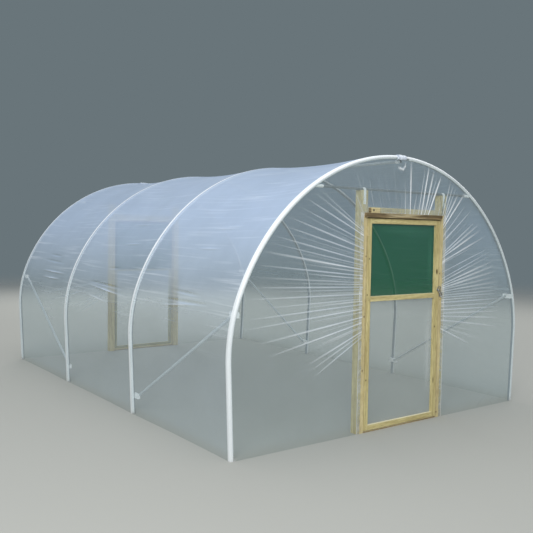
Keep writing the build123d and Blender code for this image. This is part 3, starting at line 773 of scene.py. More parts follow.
# end sheets: over the end hoop, then in to the door frame in pleats that fan out from the staples
endSheetSettings = {
    "lap": 0.033,
    "clear": 0.0009,
    "blockSpan": 0.100,      # the short block and its gap at the left of the long strip
    "wrapSteps": 6,
    "stripEnds": (0.004, 0.008),     # the lengths in which the sheet rises onto the long strip's two ends
    # rows close to the hoop, as shares of the way, and close to the frame's edge, in metres
    "besideHoop": (0.005, 0.016),
    "besideFrame": (0.052, 0.0395, 0.033, 0.027, 0.018, 0.009, 0.0),
    "beforeFrame": 0.060,
    "pleatColumns": (-2.8, -1.5, -0.7, 0.0, 0.7, 1.5, 2.8),      # places across a pleat, in its widths
    "leastColumn": 0.0010,
    "unevenStep": 0.019,             # the uneven edge: its step, how far it strays and how white its arris is
    "scallop": (-0.006, 0.003),
    "arrisStray": (-0.95, 0.30),
    "puckerWidth": 0.05,
    "footHeight": 0.22,
    "pleatOnTimber": 0.4,
    "pucker": 0.16,
    # arrisWhite: a painted highlight along the post's arris, where the sheet bends round it
    "arrisWhite": 0.75,
    "footWhite": 0.45,
    "overTape": 0.85,
    "onTimber": 0.26,
    "rows": 44,
    "fillStep": 0.017,
    "pleatWidth": 0.0031,
    # each pleat: metres along the door frame's edge (up the left post, over the door, down the right one),
    # the run on the hoop that it is pulled to, how far it reaches as a share of the way, and its strength
    "pleats": [
        (0.770, -3.070, 0.43, 0.9), (0.794, -2.894, 0.45, 0.8), (0.813, -2.814, 0.47, 1.0),
        (0.854, -2.571, 0.38, 0.6), (0.882, -2.532, 0.76, 1.1), (0.906, -2.441, 0.48, 0.5),
        (0.927, -2.387, 0.85, 1.1), (0.969, -2.293, 0.63, 0.5), (0.991, -2.259, 0.98, 0.9),
        (1.028, -2.180, 0.96, 0.9), (1.052, -2.155, 0.77, 0.5), (1.071, -2.102, 0.88, 0.7),
        (1.090, -2.075, 0.72, 0.4), (1.108, -2.022, 1.00, 0.9), (1.143, -1.982, 0.81, 0.6),
        (1.163, -1.939, 0.98, 0.9), (1.182, -1.909, 0.79, 0.5), (1.198, -1.857, 0.97, 0.7),
        (1.228, -1.789, 0.68, 0.5), (1.252, -1.776, 1.00, 0.9), (1.279, -1.704, 0.76, 0.5),
        (1.300, -1.661, 1.00, 1.1), (1.319, -1.591, 0.84, 0.4), (1.335, -1.583, 0.97, 0.7),
        (1.369, -1.512, 0.99, 0.9), (1.400, -1.456, 0.97, 0.4), (1.426, -1.414, 0.96, 0.9),
        (1.464, -1.322, 0.98, 1.0), (1.499, -1.260, 0.96, 0.4), (1.522, -1.201, 0.94, 0.8),
        (1.568, -1.113, 0.98, 1.0), (1.596, -1.041, 0.95, 0.6), (1.609, -0.942, 0.96, 0.5),
        (1.660, -0.800, 0.82, 0.3), (1.710, -0.680, 0.77, 0.3), (1.775, -0.530, 0.90, 0.4),
        (1.800, -0.480, 0.85, 0.3), (1.828, -0.435, 0.71, 0.2), (1.862, -0.405, 0.90, 0.4),
        (1.900, -0.372, 0.70, 0.1), (1.930, -0.345, 0.85, 0.3), (1.962, -0.310, 0.90, 0.3),
        (1.994, -0.277, 0.68, 0.2), (2.030, -0.228, 0.85, 0.3), (2.070, -0.170, 0.70, 0.1),
        (2.110, -0.122, 0.90, 0.3), (2.146, 0.023, 0.40, 0.4), (2.191, 0.030, 0.65, 0.9),
        (2.246, 0.099, 1.00, 1.6), (2.284, 0.274, 0.60, 0.5), (2.345, 0.295, 0.95, 1.3),
        (2.383, 0.343, 1.00, 2.6), (2.425, 0.403, 0.95, 1.9), (2.446, 0.480, 0.90, 0.9),
        (2.471, 0.532, 0.90, 3.2), (2.600, 0.592, 0.60, 0.3), (2.660, 0.628, 0.80, 0.5),
        (2.684, 0.648, 0.95, 1.5), (2.722, 0.697, 0.90, 1.4),
        (2.752, 0.745, 0.90, 1.1), (2.780, 0.801, 0.81, 1.8), (2.806, 0.894, 0.96, 1.8),
        (2.872, 0.972, 0.81, 0.8), (2.926, 1.075, 0.85, 1.0), (2.968, 1.148, 0.76, 0.4),
        (3.022, 1.189, 0.80, 1.1), (3.039, 1.255, 0.84, 1.1), (3.056, 1.352, 0.82, 1.1),
        (3.092, 1.417, 0.84, 1.0), (3.108, 1.487, 0.73, 0.5), (3.186, 1.570, 0.83, 0.8),
        (3.241, 1.596, 0.87, 0.8), (3.266, 1.637, 0.87, 0.7), (3.291, 1.706, 0.83, 1.0),
        (3.306, 1.771, 0.84, 1.1), (3.321, 1.835, 0.84, 1.0), (3.336, 1.905, 0.81, 0.8),
        (3.351, 1.972, 0.84, 0.9), (3.367, 2.020, 0.87, 0.7), (3.385, 2.064, 0.84, 0.8),
        (3.402, 2.102, 0.86, 0.8), (3.423, 2.125, 0.76, 0.5), (3.447, 2.147, 0.85, 0.9),
        (3.479, 2.195, 0.80, 0.8), (3.510, 2.232, 0.84, 0.9), (3.539, 2.270, 0.84, 0.9),
        (3.566, 2.347, 0.83, 0.9), (3.597, 2.454, 0.83, 0.8), (3.629, 2.548, 0.55, 0.4),
        (3.672, 2.842, 0.40, 0.9)],
    # where the flat ends of the sheet run to on the hoop
    "flats": [(0.0, -3.153), (0.40, -3.12), (0.70, -3.09), (3.73, 2.99), (4.04, 3.08), (4.444, 3.153)],
    "rise": 0.0042,
    # whiteness: the painted highlight along a pleat's ridge; trough: the painted shade beside it, drawn as
    # clearer film
    "whiteness": 0.92,
    "trough": 0.14,
    # where the sheet is gathered: metres along the frame, how much
    "gather": [(0.0, 0.0), (0.78, 0.0), (0.86, 0.8), (1.7, 0.8), (1.85, 0.35), (2.15, 0.45), (2.3, 0.9),
               (3.62, 0.9), (3.74, 0.0), (4.444, 0.0)],
    # soft creases elsewhere: x and z at both ends, width, rise, whiteness (a painted highlight along the
    # crease; below nought the film is left clearer)
    "folds": [
        (-0.010, 2.152, 0.012, 2.152, 0.014, 0.0, -0.6), (-0.030, 2.134, -0.012, 2.112, 0.007, 0.003, 0.8),
        (-0.012, 2.112, 0.016, 2.109, 0.008, 0.003, 0.95), (0.016, 2.109, 0.038, 2.132, 0.007, 0.003, 0.8),
        (0.038, 2.132, 0.046, 2.165, 0.006, 0.003, 0.5), (1.10, 0.03, 1.28, 0.16, 0.012, 0.002, 0.14),
        (1.28, 0.04, 1.43, 0.16, 0.012, 0.002, 0.12), (1.40, 0.03, 1.49, 0.10, 0.012, 0.002, 0.12)],
}


def foldAt(x, z, fold):
    # how far a crease from one point to another lifts the sheet at x and z, and how white it is there
    x0, z0, x1, z1, width, rise, white = fold
    alongX, alongZ = x1 - x0, z1 - z0
    share = np.clip(((x - x0) * alongX + (z - z0) * alongZ) / (alongX ** 2 + alongZ ** 2), 0, 1)
    away = np.hypot(x - x0 - share * alongX, z - z0 - share * alongZ)
    ridge = np.exp(-(away / width) ** 2)
    return rise * ridge, white * ridge


def addEndSheet(side):
    s = endSheetSettings
    mirrored = side.end == "rear"
    random = np.random.default_rng(23 if mirrored else 11)
    lapHalf, top = side.postHalf - s["lap"], side.stripBottom
    whole = 2 * (top + lapHalf)
    fanAlong, fanRun = (np.array(v) for v in zip(*sorted(s["flats"] + [p[:2] for p in s["pleats"]])))
    gatherAlong, gatherBy = (np.array(v) for v in zip(*s["gather"]))
    pleats = list(s["pleats"])
    if mirrored:
        fanAlong, fanRun = whole - fanAlong[::-1], -fanRun[::-1]
        gatherAlong, gatherBy = whole - gatherAlong[::-1], gatherBy[::-1]
        pleats = [(whole - place, -run, reach, strength) for place, run, reach, strength in pleats]
    widths = [s["pleatWidth"] * (0.75 + 0.35 * strength) for *_, strength in pleats]
    leftEnd, rightEnd = s["stripEnds"]
    stripAt = top + lapHalf - side.doorX + np.array([
        side.stripLeft + s["blockSpan"] - leftEnd, side.stripLeft + s["blockSpan"], side.stripRight,
        side.stripRight + rightEnd])
    at = np.concatenate([np.arange(0, whole, s["fillStep"]), [whole], stripAt] + [
        pleat[0] + wide * np.array(s["pleatColumns"]) for pleat, wide in zip(pleats, widths)])
    at = np.unique(np.round(at[(at >= 0) & (at <= whole)], 4))
    at = at[np.concatenate([[True], np.diff(at) > s["leastColumn"]])]
    at[-1] = whole
    # the door frame's edge and the hoop's line, walked together
    up = np.minimum(at, whole - at)
    sideOf = np.where(at < whole / 2, -1.0, 1.0)
    edgeX = side.doorX + sideOf * np.where(up < top, lapHalf, np.maximum(lapHalf - (up - top), 0.0))
    edgeZ = np.minimum(up, top)
    fine = np.linspace(-0.12, whole + 0.12, 1800)
    known = np.interp(fine, fanAlong, fanRun)
    known = np.where(fine < 0, 2 * fanRun[0] - np.interp(-fine, fanAlong, fanRun), known)
    known = np.where(fine > whole, 2 * fanRun[-1] - np.interp(2 * whole - fine, fanAlong, fanRun), known)
    smooth = np.convolve(np.pad(known, 7, mode="edge"), np.ones(15) / 15, "valid")
    run = np.clip(np.interp(at, fine, smooth), -halfHoop, halfHoop)
    run[0], run[-1] = -halfHoop, halfHoop
    hoopX, hoopZ, outX, outZ = alongHoop(run)
    gather = np.interp(at, gatherAlong, gatherBy)
    radius = tapeRadius + coverSettings["lift"]
    rows = [(radius * math.cos(turn), radius * math.sin(turn), 0.0)
            for turn in np.linspace(0, math.pi / 2, s["wrapSteps"], endpoint=False)]
    # the way from the hoop to the frame's edge, measured level beside the posts and straight above the door
    way = np.where(up < top, np.abs(hoopX - edgeX), np.hypot(hoopX - edgeX, hoopZ - edgeZ))
    last = 1 - s["beforeFrame"] / way
    rows += [(0.0, 0.0, share * last) for share in
             np.sort(np.append(np.linspace(0, 1, s["rows"]) ** 0.88, s["besideHoop"]))]
    rows += [(0.0, 0.0, 1 - near / way) for near in s["besideFrame"]]
    rows = [(lift, out, np.broadcast_to(share, at.shape)) for lift, out, share in rows]
    frameOut = side.timberOut + s["clear"]
    # over the door it passes in front of the long strip, and is held behind the batten
    stripFront = side.stripOut + s["clear"]
    overStrip = np.minimum((edgeX - side.stripLeft - s["blockSpan"]) / leftEnd + 1,
                           (side.stripRight - edgeX) / rightEnd + 1)
    overStrip = np.clip(overStrip, 0, 1) * (up > top - 0.001)
    marks = np.arange(0, whole + 0.03, s["unevenStep"])
    scallop, arris, speckle = (np.interp(at, marks, random.uniform(*reach, len(marks))) for reach in (
        s["scallop"], s["arrisStray"], (0.0, 2.0)))
    arris = arris * gather
    grid, crease, alongFrame, fanShare, gathered = [], [], [], [], []
    for lift, out, share in rows:
        edgeXs = edgeX - sideOf * scallop * (up < top) * (share > 0.9999)
        x = hoopX * (1 - share) + edgeXs * share + outX * lift
        z = hoopZ * (1 - share) + edgeZ * share + outZ * lift
        onHoop = bool(lift) or share.max() == 0
        onPost = (np.abs(x - side.doorX) < side.postHalf + 0.001) & (z < top + 0.001)
        rise, white = np.zeros_like(x), np.zeros_like(x)
        if not onHoop:
            for (place, _, reach, strength), wide in zip(pleats, widths):
                gone = (1 - share) / reach
                fade = np.clip(1 - gone ** 3, 0, 1) * (0.7 + 0.3 * np.clip(gone / 0.3, 0, 1))
                # each pleat lifts the sheet along its ridge and gives it a painted highlight, with painted
                # shade in the trough beside it
                ridge = np.exp(-((at - place) / wide) ** 2) * fade * strength
                trough = np.exp(-((at - place) / wide / 2.6) ** 2) * fade * min(strength, 1.0) * s["trough"]
                rise += s["rise"] * ridge * np.where(onPost, s["pleatOnTimber"], 1.0) / max(strength, 1.0)
                white += s["whiteness"] * ridge - np.where(onPost, 0.0, trough)
            for fold in s["folds"]:
                foldRise, foldWhite = foldAt(-x if mirrored else x, z, fold)
                rise, white = rise + foldRise, white + foldWhite
        if lift:
            base = out
        else:
            base = radius + (frameOut - radius) * share
            down = np.clip((hoopZ - z) / (hoopZ - side.stripTop - 0.0005), 0, 1)
            base = base * (1 - overStrip) + (radius + (stripFront - radius) * down) * overStrip
        if onHoop:
            white = np.maximum(white, s["overTape"])
        beside = (1 - share) * way - s["lap"]
        puckered = np.exp(-(np.maximum(beside, 0) / s["puckerWidth"]) ** 2)
        white = white + s["pucker"] * gather * puckered * (not onHoop)
        white = np.where(onPost, white * 0.8 + s["onTimber"] * speckle, white)
        # a painted highlight where the sheet bends round the post's arris
        onArris = (np.abs(np.abs(x - side.doorX) - side.postHalf) < 0.0012) & (z < top) & (not onHoop)
        white = np.where(onArris, np.maximum(white, s["arrisWhite"] + arris), white)
        if 0 < share.max() < 0.02:
            white = white + s["footWhite"] * np.exp(-(up / s["footHeight"]) ** 2)
        grid.append(fromEnd(side, x, base + rise, np.maximum(z, 0.0)))
        crease.append(np.clip(white, -0.25, 1))
        alongFrame.append(at)
        fanShare.append(np.full_like(at, share))
        gathered.append(gather * (0.0 if onHoop else 1.0) * np.clip((share - 0.35) / 0.5, 0, 1))
    sheet = gridMesh(f"{side.end}EndSheet", [np.array(grid)], endFilm, [(0, side.sign, 0)], {
        "crease": np.array(crease), "alongFrame": np.array(alongFrame), "fanShare": np.array(fanShare),
        "gather": np.array(gathered)})
    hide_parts(*[f"{side.end}_film_{part}" for part in ("left", "right", "top")])
    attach(sheet, "tunnel")


for side in ends.values():
    addEndSheet(side)
print("end sheets gathered")


# door panels: netting above the middle rail, film below, both stapled to the back of the leaf
panelSettings = {
    "step": 0.012,
    "slack": 0.006,
    # level and upright folds: direction, place, from, to, width, rise, whiteness (a painted highlight along
    # the fold)
    "front_door_mesh": [
        ("level", 1.605, -0.22, 0.42, 0.016, 0.004, 0.30), ("level", 1.640, -0.30, 0.42, 0.012, 0.003, 0.22),
        ("level", 1.572, 0.0, 0.42, 0.012, 0.002, 0.15), ("upright", 0.418, 1.10, 1.66, 0.008, 0.003, 0.45),
        ("upright", 0.398, 1.12, 1.62, 0.008, 0.002, 0.25)],
    "rear_door_mesh": [
        ("level", 1.590, -0.36, 0.10, 0.016, 0.004, 0.30),
        ("upright", -0.360, 1.12, 1.60, 0.010, 0.003, 0.4)],
    "front_door_film": [
        ("upright", 0.412, 0.16, 1.02, 0.024, 0.003, 0.30),
        ("upright", 0.380, 0.45, 0.95, 0.016, 0.002, 0.12),
        ("level", 0.93, -0.30, 0.35, 0.016, 0.003, 0.15)],
    "rear_door_film": [
        ("upright", -0.345, 0.25, 0.98, 0.024, 0.003, 0.3), ("level", 0.90, -0.25, 0.30, 0.016, 0.003, 0.15)],
}


def addPanel(side, kind, material):
    s, node = panelSettings, f"{side.end}_door_{kind}"
    low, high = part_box(node)
    columns, rows = (np.linspace(start, end, round((end - start) / s["step"]) + 1)
                     for start, end in ((low.x, high.x), (low.z, high.z)))
    x, z = np.meshgrid(columns, rows)
    across, up = (x - low.x) / (high.x - low.x), (z - low.z) / (high.z - low.z)
    pinned = np.clip(across * (1 - across) * up * (1 - up) * 16, 0, 1)
    inward, crease = s["slack"] * pinned, np.zeros_like(x)
    for direction, place, start, end, width, rise, white in s[node]:
        cross, along = (z, x) if direction == "level" else (x, z)
        share = (along - (start + end) / 2) / abs(end - start) * 2
        fold = np.exp(-((cross - place) / width) ** 2) * np.clip(1 - share ** 2, 0, 1)
        inward = inward - rise * fold * np.minimum(pinned * 6, 1)
        # each fold brings a painted highlight along it
        crease += white * fold
    grid = np.stack([x, (low.y + high.y) / 2 - side.sign * inward, z], -1)
    name = node.replace("mesh", "netting") + "_sheet"
    panel = gridMesh(name, [grid], material, [(0, side.sign, 0)], {"crease": crease})
    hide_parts(node)
    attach(panel, f"{side.end}_door")


netting = wovenNetting()
for side in ends.values():
    addPanel(side, "mesh", netting)
    addPanel(side, "film", doorFilm)
print("door panels stretched")

# screws, staples, bolts and nails, with dark discs for the block's screw holes, their painted shade, and for
# the ridge tube's ends: each shape is made once and set out by the same geometry tree
fastenerSettings = {
    # turned shapes: sides, then radius and height from the foot to the top, in millimetres
    "screw": (12, [(4.0, 0.0), (3.8, 0.8), (2.9, 1.7), (1.5, 2.0), (1.3, 0.9), (0.0, 0.7)]),
    "nail": (10, [(1.9, 0.0), (1.9, 0.5), (1.4, 0.9), (0.0, 1.0)]),
    "bolt": (6, [(9.0, 0.0), (9.0, 1.4), (6.2, 1.4), (6.2, 5.4), (5.4, 6.2), (0.0, 6.2)]),
    # hole: a flat dark disc, the painted shade of a screw hole in the block
    "hole": (14, [(8.4, 0.0), (8.2, 0.9), (7.2, 1.5), (0.0, 1.7)]),
    # plug: a flat dark disc over the ridge tube's end
    "plug": (16, [(12.0, 0.2), (11.0, 0.9), (0.0, 1.0)]),
    "staple": {"length": 10.5, "wire": 1.1, "height": 1.0, "drop": 0.8},
    # everything below is in metres
    "proud": 0.0001,
    "hingeEnd": 0.038,           # from a hinge's end to its middle
    "hingePitch": 0.026,
    "onPlate": 0.010,            # from the leaf's edge to the screws in the post, and in the leaf
    "onStrap": 0.015,
    "hingeThick": 0.0023,
    "firstStaple": 0.06,
    "staplePitch": 0.052,
    "stapleInward": 0.009,
    "sheetThick": 0.0012,
    "strapScrews": (0.014, 0.052),
    "strapThick": 0.0004,
    "firstNail": 0.10,
    "nailPitch": 0.095,
    "nailInward": 0.005,
    "stripNails": (-0.24, -0.02, 0.20, 0.39),
    "stripNailRise": 0.004,      # from the board's middle line, as is the next
    "battenNails": (-0.40, -0.19, 0.03, 0.25, 0.41),
    "battenNailRise": -0.003,
    "leafEnds": (0.013, 0.030),  # nails near both ends of a stile, and at the middle rail
    "leafMiddle": (1.058, 1.075),
    "leafEdge": 0.022,
    "blockHoleInset": 0.020,
    "ridgeDiscOut": 0.0006,
    "boltSunk": 0.001,
    "anyTurn": 3.1,              # radians either way
    "stapleTurn": 0.25,
    "boltTurn": 0.6,
}


def shapeObject(name, shape):
    mesh = bpy.data.meshes.new(name)
    shape.to_mesh(mesh)
    shape.free()
    return addObject(name, mesh)


def turnedShape(name, sides, outline):
    # a small turned head from its outline
    shape, rings = bmesh.new(), []
    turns = np.arange(sides) * 2 * math.pi / sides
    for radius, height in outline:
        rings.append([
            shape.verts.new((radius / 1000 * math.cos(turn), radius / 1000 * math.sin(turn), height / 1000))
            for turn in (turns if radius else [0.0])])
    for lower, upper in zip(rings, rings[1:]):
        for i in range(sides):
            j = (i + 1) % sides
            shape.faces.new((lower[i], lower[j], *((upper[0],) if len(upper) == 1 else (upper[j], upper[i]))))
    return shapeObject(name, shape)


def stapleShape(name, length, wire, height, drop):
    # the bridge of a staple with its two legs bent down into the wood
    half = length / 2
    path = [(-half, -drop), (-half, height * 0.6), (-half * 0.86, height), (half * 0.86, height),
            (half, height * 0.6), (half, -drop)]
    shape, rings = bmesh.new(), []
    for i, (x, z) in enumerate(path):
        inward = 0.0 if i in (2, 3) else wire * 0.6
        x2, z2 = x - math.copysign(inward, x), z - (0.0 if inward else wire * 0.6)
        rings.append([shape.verts.new((a / 1000, side * wire / 2000, b / 1000))
                      for a, b, side in ((x, z, -1), (x, z, 1), (x2, z2, 1), (x2, z2, -1))])
    for first, second in zip(rings, rings[1:]):
        for i in range(4):
            j = (i + 1) % 4
            shape.faces.new((first[i], first[j], second[j], second[i]))
    bmesh.ops.recalc_face_normals(shape, faces=shape.faces)
    return shapeObject(name, shape)


def fastenerTree():
    # sets a shape on every point, its foot against the surface, turned a little by chance
    tree, add, entry = newTree("fastenersOnPoints", {
        "Shape": ("Object", None),
        "Size": ("Float", 1.0),
        "Turn Spread": ("Float", 0.2),
        "Seed": ("Int", 3),
        "Material": ("Material", None),
    })
    aim = add("InputNamedAttribute", {"Name": "aim"}, data_type="FLOAT_VECTOR")
    spread = add("Math", {0: (entry, "Turn Spread"), 1: -1.0}, operation="MULTIPLY")
    chance = add("RandomValue", {
        "Min": spread, "Max": (entry, "Turn Spread"), "Seed": (entry, "Seed")}, data_type="FLOAT")
    upright = add("AlignRotationToVector", {"Vector": aim}, axis="Z")
    spin = add("AxisAngleToRotation", {"Axis": (0.0, 0.0, 1.0), "Angle": chance})
    turned = add("RotateRotation", {"Rotation": upright, "Rotate By": spin}, rotation_space="LOCAL")
    shape = add("ObjectInfo", {"Object": (entry, "Shape"), "As Instance": True}, transform_space="ORIGINAL")
    instances = add("InstanceOnPoints", {
        "Points": (entry, "Geometry"), "Instance": (shape, "Geometry"), "Rotation": turned,
        "Scale": (entry, "Size")})
    endTree(add, instances, entry)
    return tree


def setOut(name, shape, spots, spread, material, body):
    places, aims = zip(*spots)
    mesh = newMesh(name, [tuple(p) for p in places], [])
    attribute = mesh.attributes.new("aim", "FLOAT_VECTOR", "POINT")
    attribute.data.foreach_set("vector", np.asarray(aims, np.float32).ravel())
    piece = addObject(name, mesh)
    runTree(piece, headTree, {"Shape": shape, "Size": 1.0, "Turn Spread": spread, "Seed": len(places),
                              "Material": material})
    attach(piece, body)


def addFasteners():
    s = fastenerSettings
    shapes = {kind: turnedShape(kind + "Head", *s[kind])
              for kind in ("screw", "nail", "bolt", "hole", "plug")}
    shapes["staple"] = stapleShape("stapleBridge", **s["staple"])
    screws, staples, nails, bolts, holes, endDiscs = [], [], [], [], [], []
    ridgeLow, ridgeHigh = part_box("ridge_tube")
    for side in ends.values():
        def spot(listing, x, z, depth, side=side):
            listing.append((fromEnd(side, side.doorX + x, depth, z), (0.0, side.sign, 0.0)))

        timber, leafScrews, leafNails = side.timberOut, [], []
        for middle in (side.hinges.bottom + s["hingeEnd"], side.hinges.top - s["hingeEnd"]):
            for z in (middle - s["hingePitch"], middle, middle + s["hingePitch"]):
                spot(screws, -side.postInner - s["onPlate"], z, timber + s["hingeThick"])
                spot(leafScrews, -side.postInner + s["onStrap"], z, timber + s["hingeThick"])
        # the sheet's edge on both posts, stapled every two inches or so, and the foot of each strap
        edge = side.postHalf - endSheetSettings["lap"]
        for way in (-1, 1):
            for z in np.arange(s["firstStaple"], side.stripBottom, s["staplePitch"]):
                spot(staples, way * (edge + s["stapleInward"]), z, timber + s["sheetThick"])
            for up in s["strapScrews"]:
                spot(screws, way * side.postMiddle, side.strapFoot + up, timber + s["strapThick"])
        for z in np.arange(s["firstNail"], side.stripBottom, s["nailPitch"]):
            spot(nails, -(side.postInner + s["nailInward"]), z, timber + s["proud"])
        # a dark disc over each end of the ridge tube
        ridgeOut = (ridgeHigh.y - ridgeLow.y) / 2 - abs(side.hoopY)
        spot(endDiscs, -side.doorX, (ridgeLow.z + ridgeHigh.z) / 2, ridgeOut + s["ridgeDiscOut"])
        stripMiddle = (side.stripBottom + side.stripTop) / 2
        # a dark disc on the block: painted shade of its screw hole
        spot(holes, side.stripLeft - side.doorX + s["blockHoleInset"], stripMiddle, side.stripOut + s["proud"])
        for x in s["stripNails"]:
            spot(nails, x, stripMiddle + s["stripNailRise"], side.stripOut + s["proud"])
        battenMiddle = (side.batten.bottom + side.batten.top) / 2
        for x in s["battenNails"]:
            spot(nails, x, battenMiddle + s["battenNailRise"], side.batten.out + s["proud"])
        low, high = ([end + way * gap for gap in s["leafEnds"]]
                     for end, way in ((side.leaf.bottom, 1), (side.leaf.top, -1)))
        for way in (-1, 1):
            x = side.leaf.middle - side.doorX + way * (side.leaf.half - s["leafEdge"])
            for z in (*low, *s["leafMiddle"], *high):
                spot(leafNails, x, z, timber + s["proud"])
        for name, kind, spots, material in (
                ("Screws", "screw", leafScrews, zincPlate), ("Nails", "nail", leafNails, darkSteel)):
            setOut(f"{side.end}Door{name}", shapes[kind], spots, s["anyTurn"], material, f"{side.end}_door")
    # one bolt through each crop bar clamp and brace clamp, read from the clamps' own solids
    for node in ("crop_bar_clamps", "brace_clamps"):
        for low, high in solidBoxes(node):
            middle = (low + high) / 2
            inward = -1.0 if middle[0] > 0 else 1.0
            outer = (low[0] if inward < 0 else high[0]) - inward * s["boltSunk"]
            bolts.append(((outer, middle[1], middle[2]), (inward, 0.0, 0.0)))
    for name, kind, spots, turn, material, slot in (
            ("frameScrews", "screw", screws, "anyTurn", zincPlate, "hinge_steel"),
            ("sheetStaples", "staple", staples, "stapleTurn", zincGlintAndShade, "galvanised"),
            ("frameNails", "nail", nails, "anyTurn", darkSteel, "hinge_steel"),
            ("blockHoles", "hole", holes, "anyTurn", darkDiscs, "hinge_steel"),
            ("ridgePlugs", "plug", endDiscs, "anyTurn", darkDiscs, "hinge_steel"),
            ("clampBolts", "bolt", bolts, "boltTurn", alloyPaintedGlint, "galvanised")):
        setOut(name, shapes[kind], spots, s[turn], material, "tunnel")
    for shape in shapes.values():
        bpy.data.objects.remove(shape)


def solidBoxes(node):
    # the low and high corners of each loose solid in a node
    shape = bmesh.new()
    shape.from_mesh(cadNodes[node].data)
    bmesh.ops.remove_doubles(shape, verts=shape.verts, dist=1e-6)
    boxes, seen = [], set()
    for start in shape.verts:
        if start in seen:
            continue
        group, stack = [], [start]
        seen.add(start)
        while stack:
            vert = stack.pop()
            group.append(tuple(vert.co))
            for edge in vert.link_edges:
                other = edge.other_vert(vert)
                if other not in seen:
                    seen.add(other)
                    stack.append(other)
        group = np.array(group)
        boxes.append((group.min(0), group.max(0)))
    shape.free()
    return boxes


# small fittings: a wrap of film at each crown, a head stop, a packer under the strip, the hook's rings
fittingSettings = {
    "wrapRun": (-0.046, 0.056),
    "wrapTurn": (-80, 150),      # degrees from straight outwards, towards the tunnel's end
    "wrapSteps": (15, 19),
    "wrapClear": 0.0012,
    "wrapRise": 0.0085,
    "wrapTuck": 0.002,
    "lintelOver": 0.004,
    "stopHeight": 0.014,
    "stopDepth": 0.016,
    "stopEnds": 0.004,
    "stopClear": 0.0002,
    "stopBehind": 0.0271,        # behind the posts' face: the leaf, its panels and some play
    "packer": {"left": -0.431, "right": -0.4135, "low": 0.004, "high": 0.034, "thick": 0.011, "out": 0.0035},
    "rubbed": 0.0012,
    # x, z and radius of the loose rings on the hook, then their wire, place and tilt
    "rings": [(0.424, 1.122, 0.0175), (0.437, 1.094, 0.0125), (0.449, 1.070, 0.0125)],
    "ringWire": 0.0034,
    "ringOut": 0.0135,
    "ringTilt": 0.35,
}


def addCrownWrap(side):
    # sheet ends and tape crumpled over the clamp at the crown of an end hoop, the crumples' light and shade
    # painted as pale and dark patches
    s = fittingSettings
    random = np.random.default_rng(8)
    rows, columns = s["wrapSteps"]
    run = np.linspace(*s["wrapRun"], rows) * (-side.sign)
    run = np.concatenate([run[:1], run, run[-1:]])
    runs, turns = np.meshgrid(run, np.radians(np.linspace(*s["wrapTurn"], columns)), indexing="ij")
    lumps = random.uniform(0, 1, runs.shape)
    lumps = (lumps + np.roll(lumps, 1, 0) + np.roll(lumps, 1, 1)) / 3
    radius = tapeRadius + coverSettings["lift"] + s["wrapClear"] + lumps * s["wrapRise"]
    radius[[0, -1], :] = tapeRadius - s["wrapTuck"]
    radius[:, [0, -1]] = tapeRadius - s["wrapTuck"]
    grid, facing = hoopBand(runs, turns, radius, side.hoopY, side.sign)
    wrap = gridMesh(f"{side.end}CrownWrap", [grid], crumpledFilmLightAndShade, [facing], {})
    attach(wrap, "tunnel")


def sawnBoard(name, side, left, right, low, high, front, back, material):
    # a sawn board given in an end wall's own measures, its edges a little rubbed
    corners = [tuple(fromEnd(side, x, out, z)) for out in (front, back)
               for x, z in ((left, low), (right, low), (right, high), (left, high))]
    mesh = newMesh(name, corners, [
        (0, 1, 2, 3), (7, 6, 5, 4), (0, 4, 5, 1), (1, 5, 6, 2), (2, 6, 7, 3), (3, 7, 4, 0)], material)
    shape = bmesh.new()
    shape.from_mesh(mesh)
    bmesh.ops.bevel(shape, geom=shape.edges, offset=fittingSettings["rubbed"], segments=2, affect="EDGES")
    bmesh.ops.recalc_face_normals(shape, faces=shape.faces)
    shape.to_mesh(mesh)
    shape.free()
    piece = addObject(name, mesh)
    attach(piece, "tunnel")
    return piece


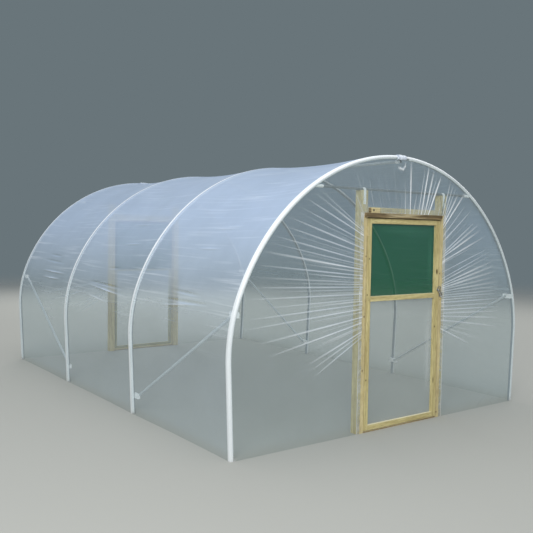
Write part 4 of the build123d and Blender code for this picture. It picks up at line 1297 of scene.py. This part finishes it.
def addHookRings(side):
    # the loose rings of the cabin hook
    s = fittingSettings
    curve = bpy.data.curves.new(f"{side.end}HookRings", "CURVE")
    curve.dimensions = "3D"
    curve.bevel_depth = s["ringWire"]
    curve.bevel_resolution = 2
    curve.resolution_u = 6
    for number, (x, z, radius) in enumerate(s["rings"]):
        spline = curve.splines.new("NURBS")
        spline.points.add(7)
        tilt = (-1) ** number * s["ringTilt"]
        for i, point in enumerate(spline.points):
            turn = i * math.pi / 4
            reach = radius * (1.0 if i % 2 == 0 else math.sqrt(2) * 0.96)
            place = fromEnd(side, side.doorX + x + reach * math.cos(turn),
                            side.timberOut + s["ringOut"] + reach * math.sin(turn) * tilt,
                            z + reach * math.sin(turn))
            point.co = (*place, 1.0)
        spline.use_cyclic_u = True
        spline.order_u = 3
    holder = addObject(curve.name, curve)
    mesh = bpy.data.meshes.new_from_object(holder)
    mesh.name = curve.name
    bpy.data.objects.remove(holder)
    # the wire's dark tone is painted shade round the rings
    mesh.materials.clear()
    mesh.materials.append(steelWireShade)
    rings = addObject(mesh.name, mesh)
    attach(rings, f"{side.end}_door")


def addFittings(side):
    s, x, front = fittingSettings, side.doorX, side.timberOut
    addCrownWrap(side)
    lintelLow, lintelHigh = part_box(f"{side.end}_lintel")
    behind = front - s["stopBehind"]
    stopHalf = side.postInner - s["stopEnds"]
    sawnBoard(f"{side.end}HeadStop", side, x - stopHalf, x + stopHalf,
              side.lintelBottom - s["stopHeight"], side.lintelBottom - s["stopClear"],
              behind, behind - s["stopDepth"], weatheredPine)
    lintel = sawnBoard(f"{side.end}LintelBoard", side, x - side.postInner, x + side.postInner,
                       side.lintelBottom, side.stripTop + s["lintelOver"],
                       front, front - (lintelHigh.y - lintelLow.y), levelPine)
    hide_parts(f"{side.end}_lintel")
    p = s["packer"]
    sawnBoard(f"{side.end}StripPacker", side, x + p["left"], x + p["right"],
              side.stripBottom + p["low"], side.stripBottom + p["high"],
              front + p["out"] + p["thick"], front + p["out"], weatheredPine)
    addHookRings(side)


# crumpled film: its pale patches painted highlights, its dark patches painted shade
crumpledFilmLightAndShade = rolledMetal("crumpledPolythene", "#e4ecf6", "#6c7f97", 0.0, 0.22, 22)
# the hook's rings: mostly dark, painted shade, with some lighter grey patches
steelWireShade = rolledMetal("blackenedSteelWire", "#8d9092", "#232425", 0.4, 0.35, 6)
# dark discs: painted shade in the block's screw holes, and the dark ends of the ridge tube
darkDiscs = rolledMetal("mouldedBlackCap", "#2b3034", "#16191b", 0.0, 0.55, 5)
weatheredPine = cadNodes["front_batten"].data.materials[0]
levelPine = cadNodes["front_lintel"].data.materials[0]
for side in ends.values():
    addFittings(side)
print("small fittings added")

headTree = fastenerTree()
addFasteners()
print("screws, staples, nails and bolts set out")
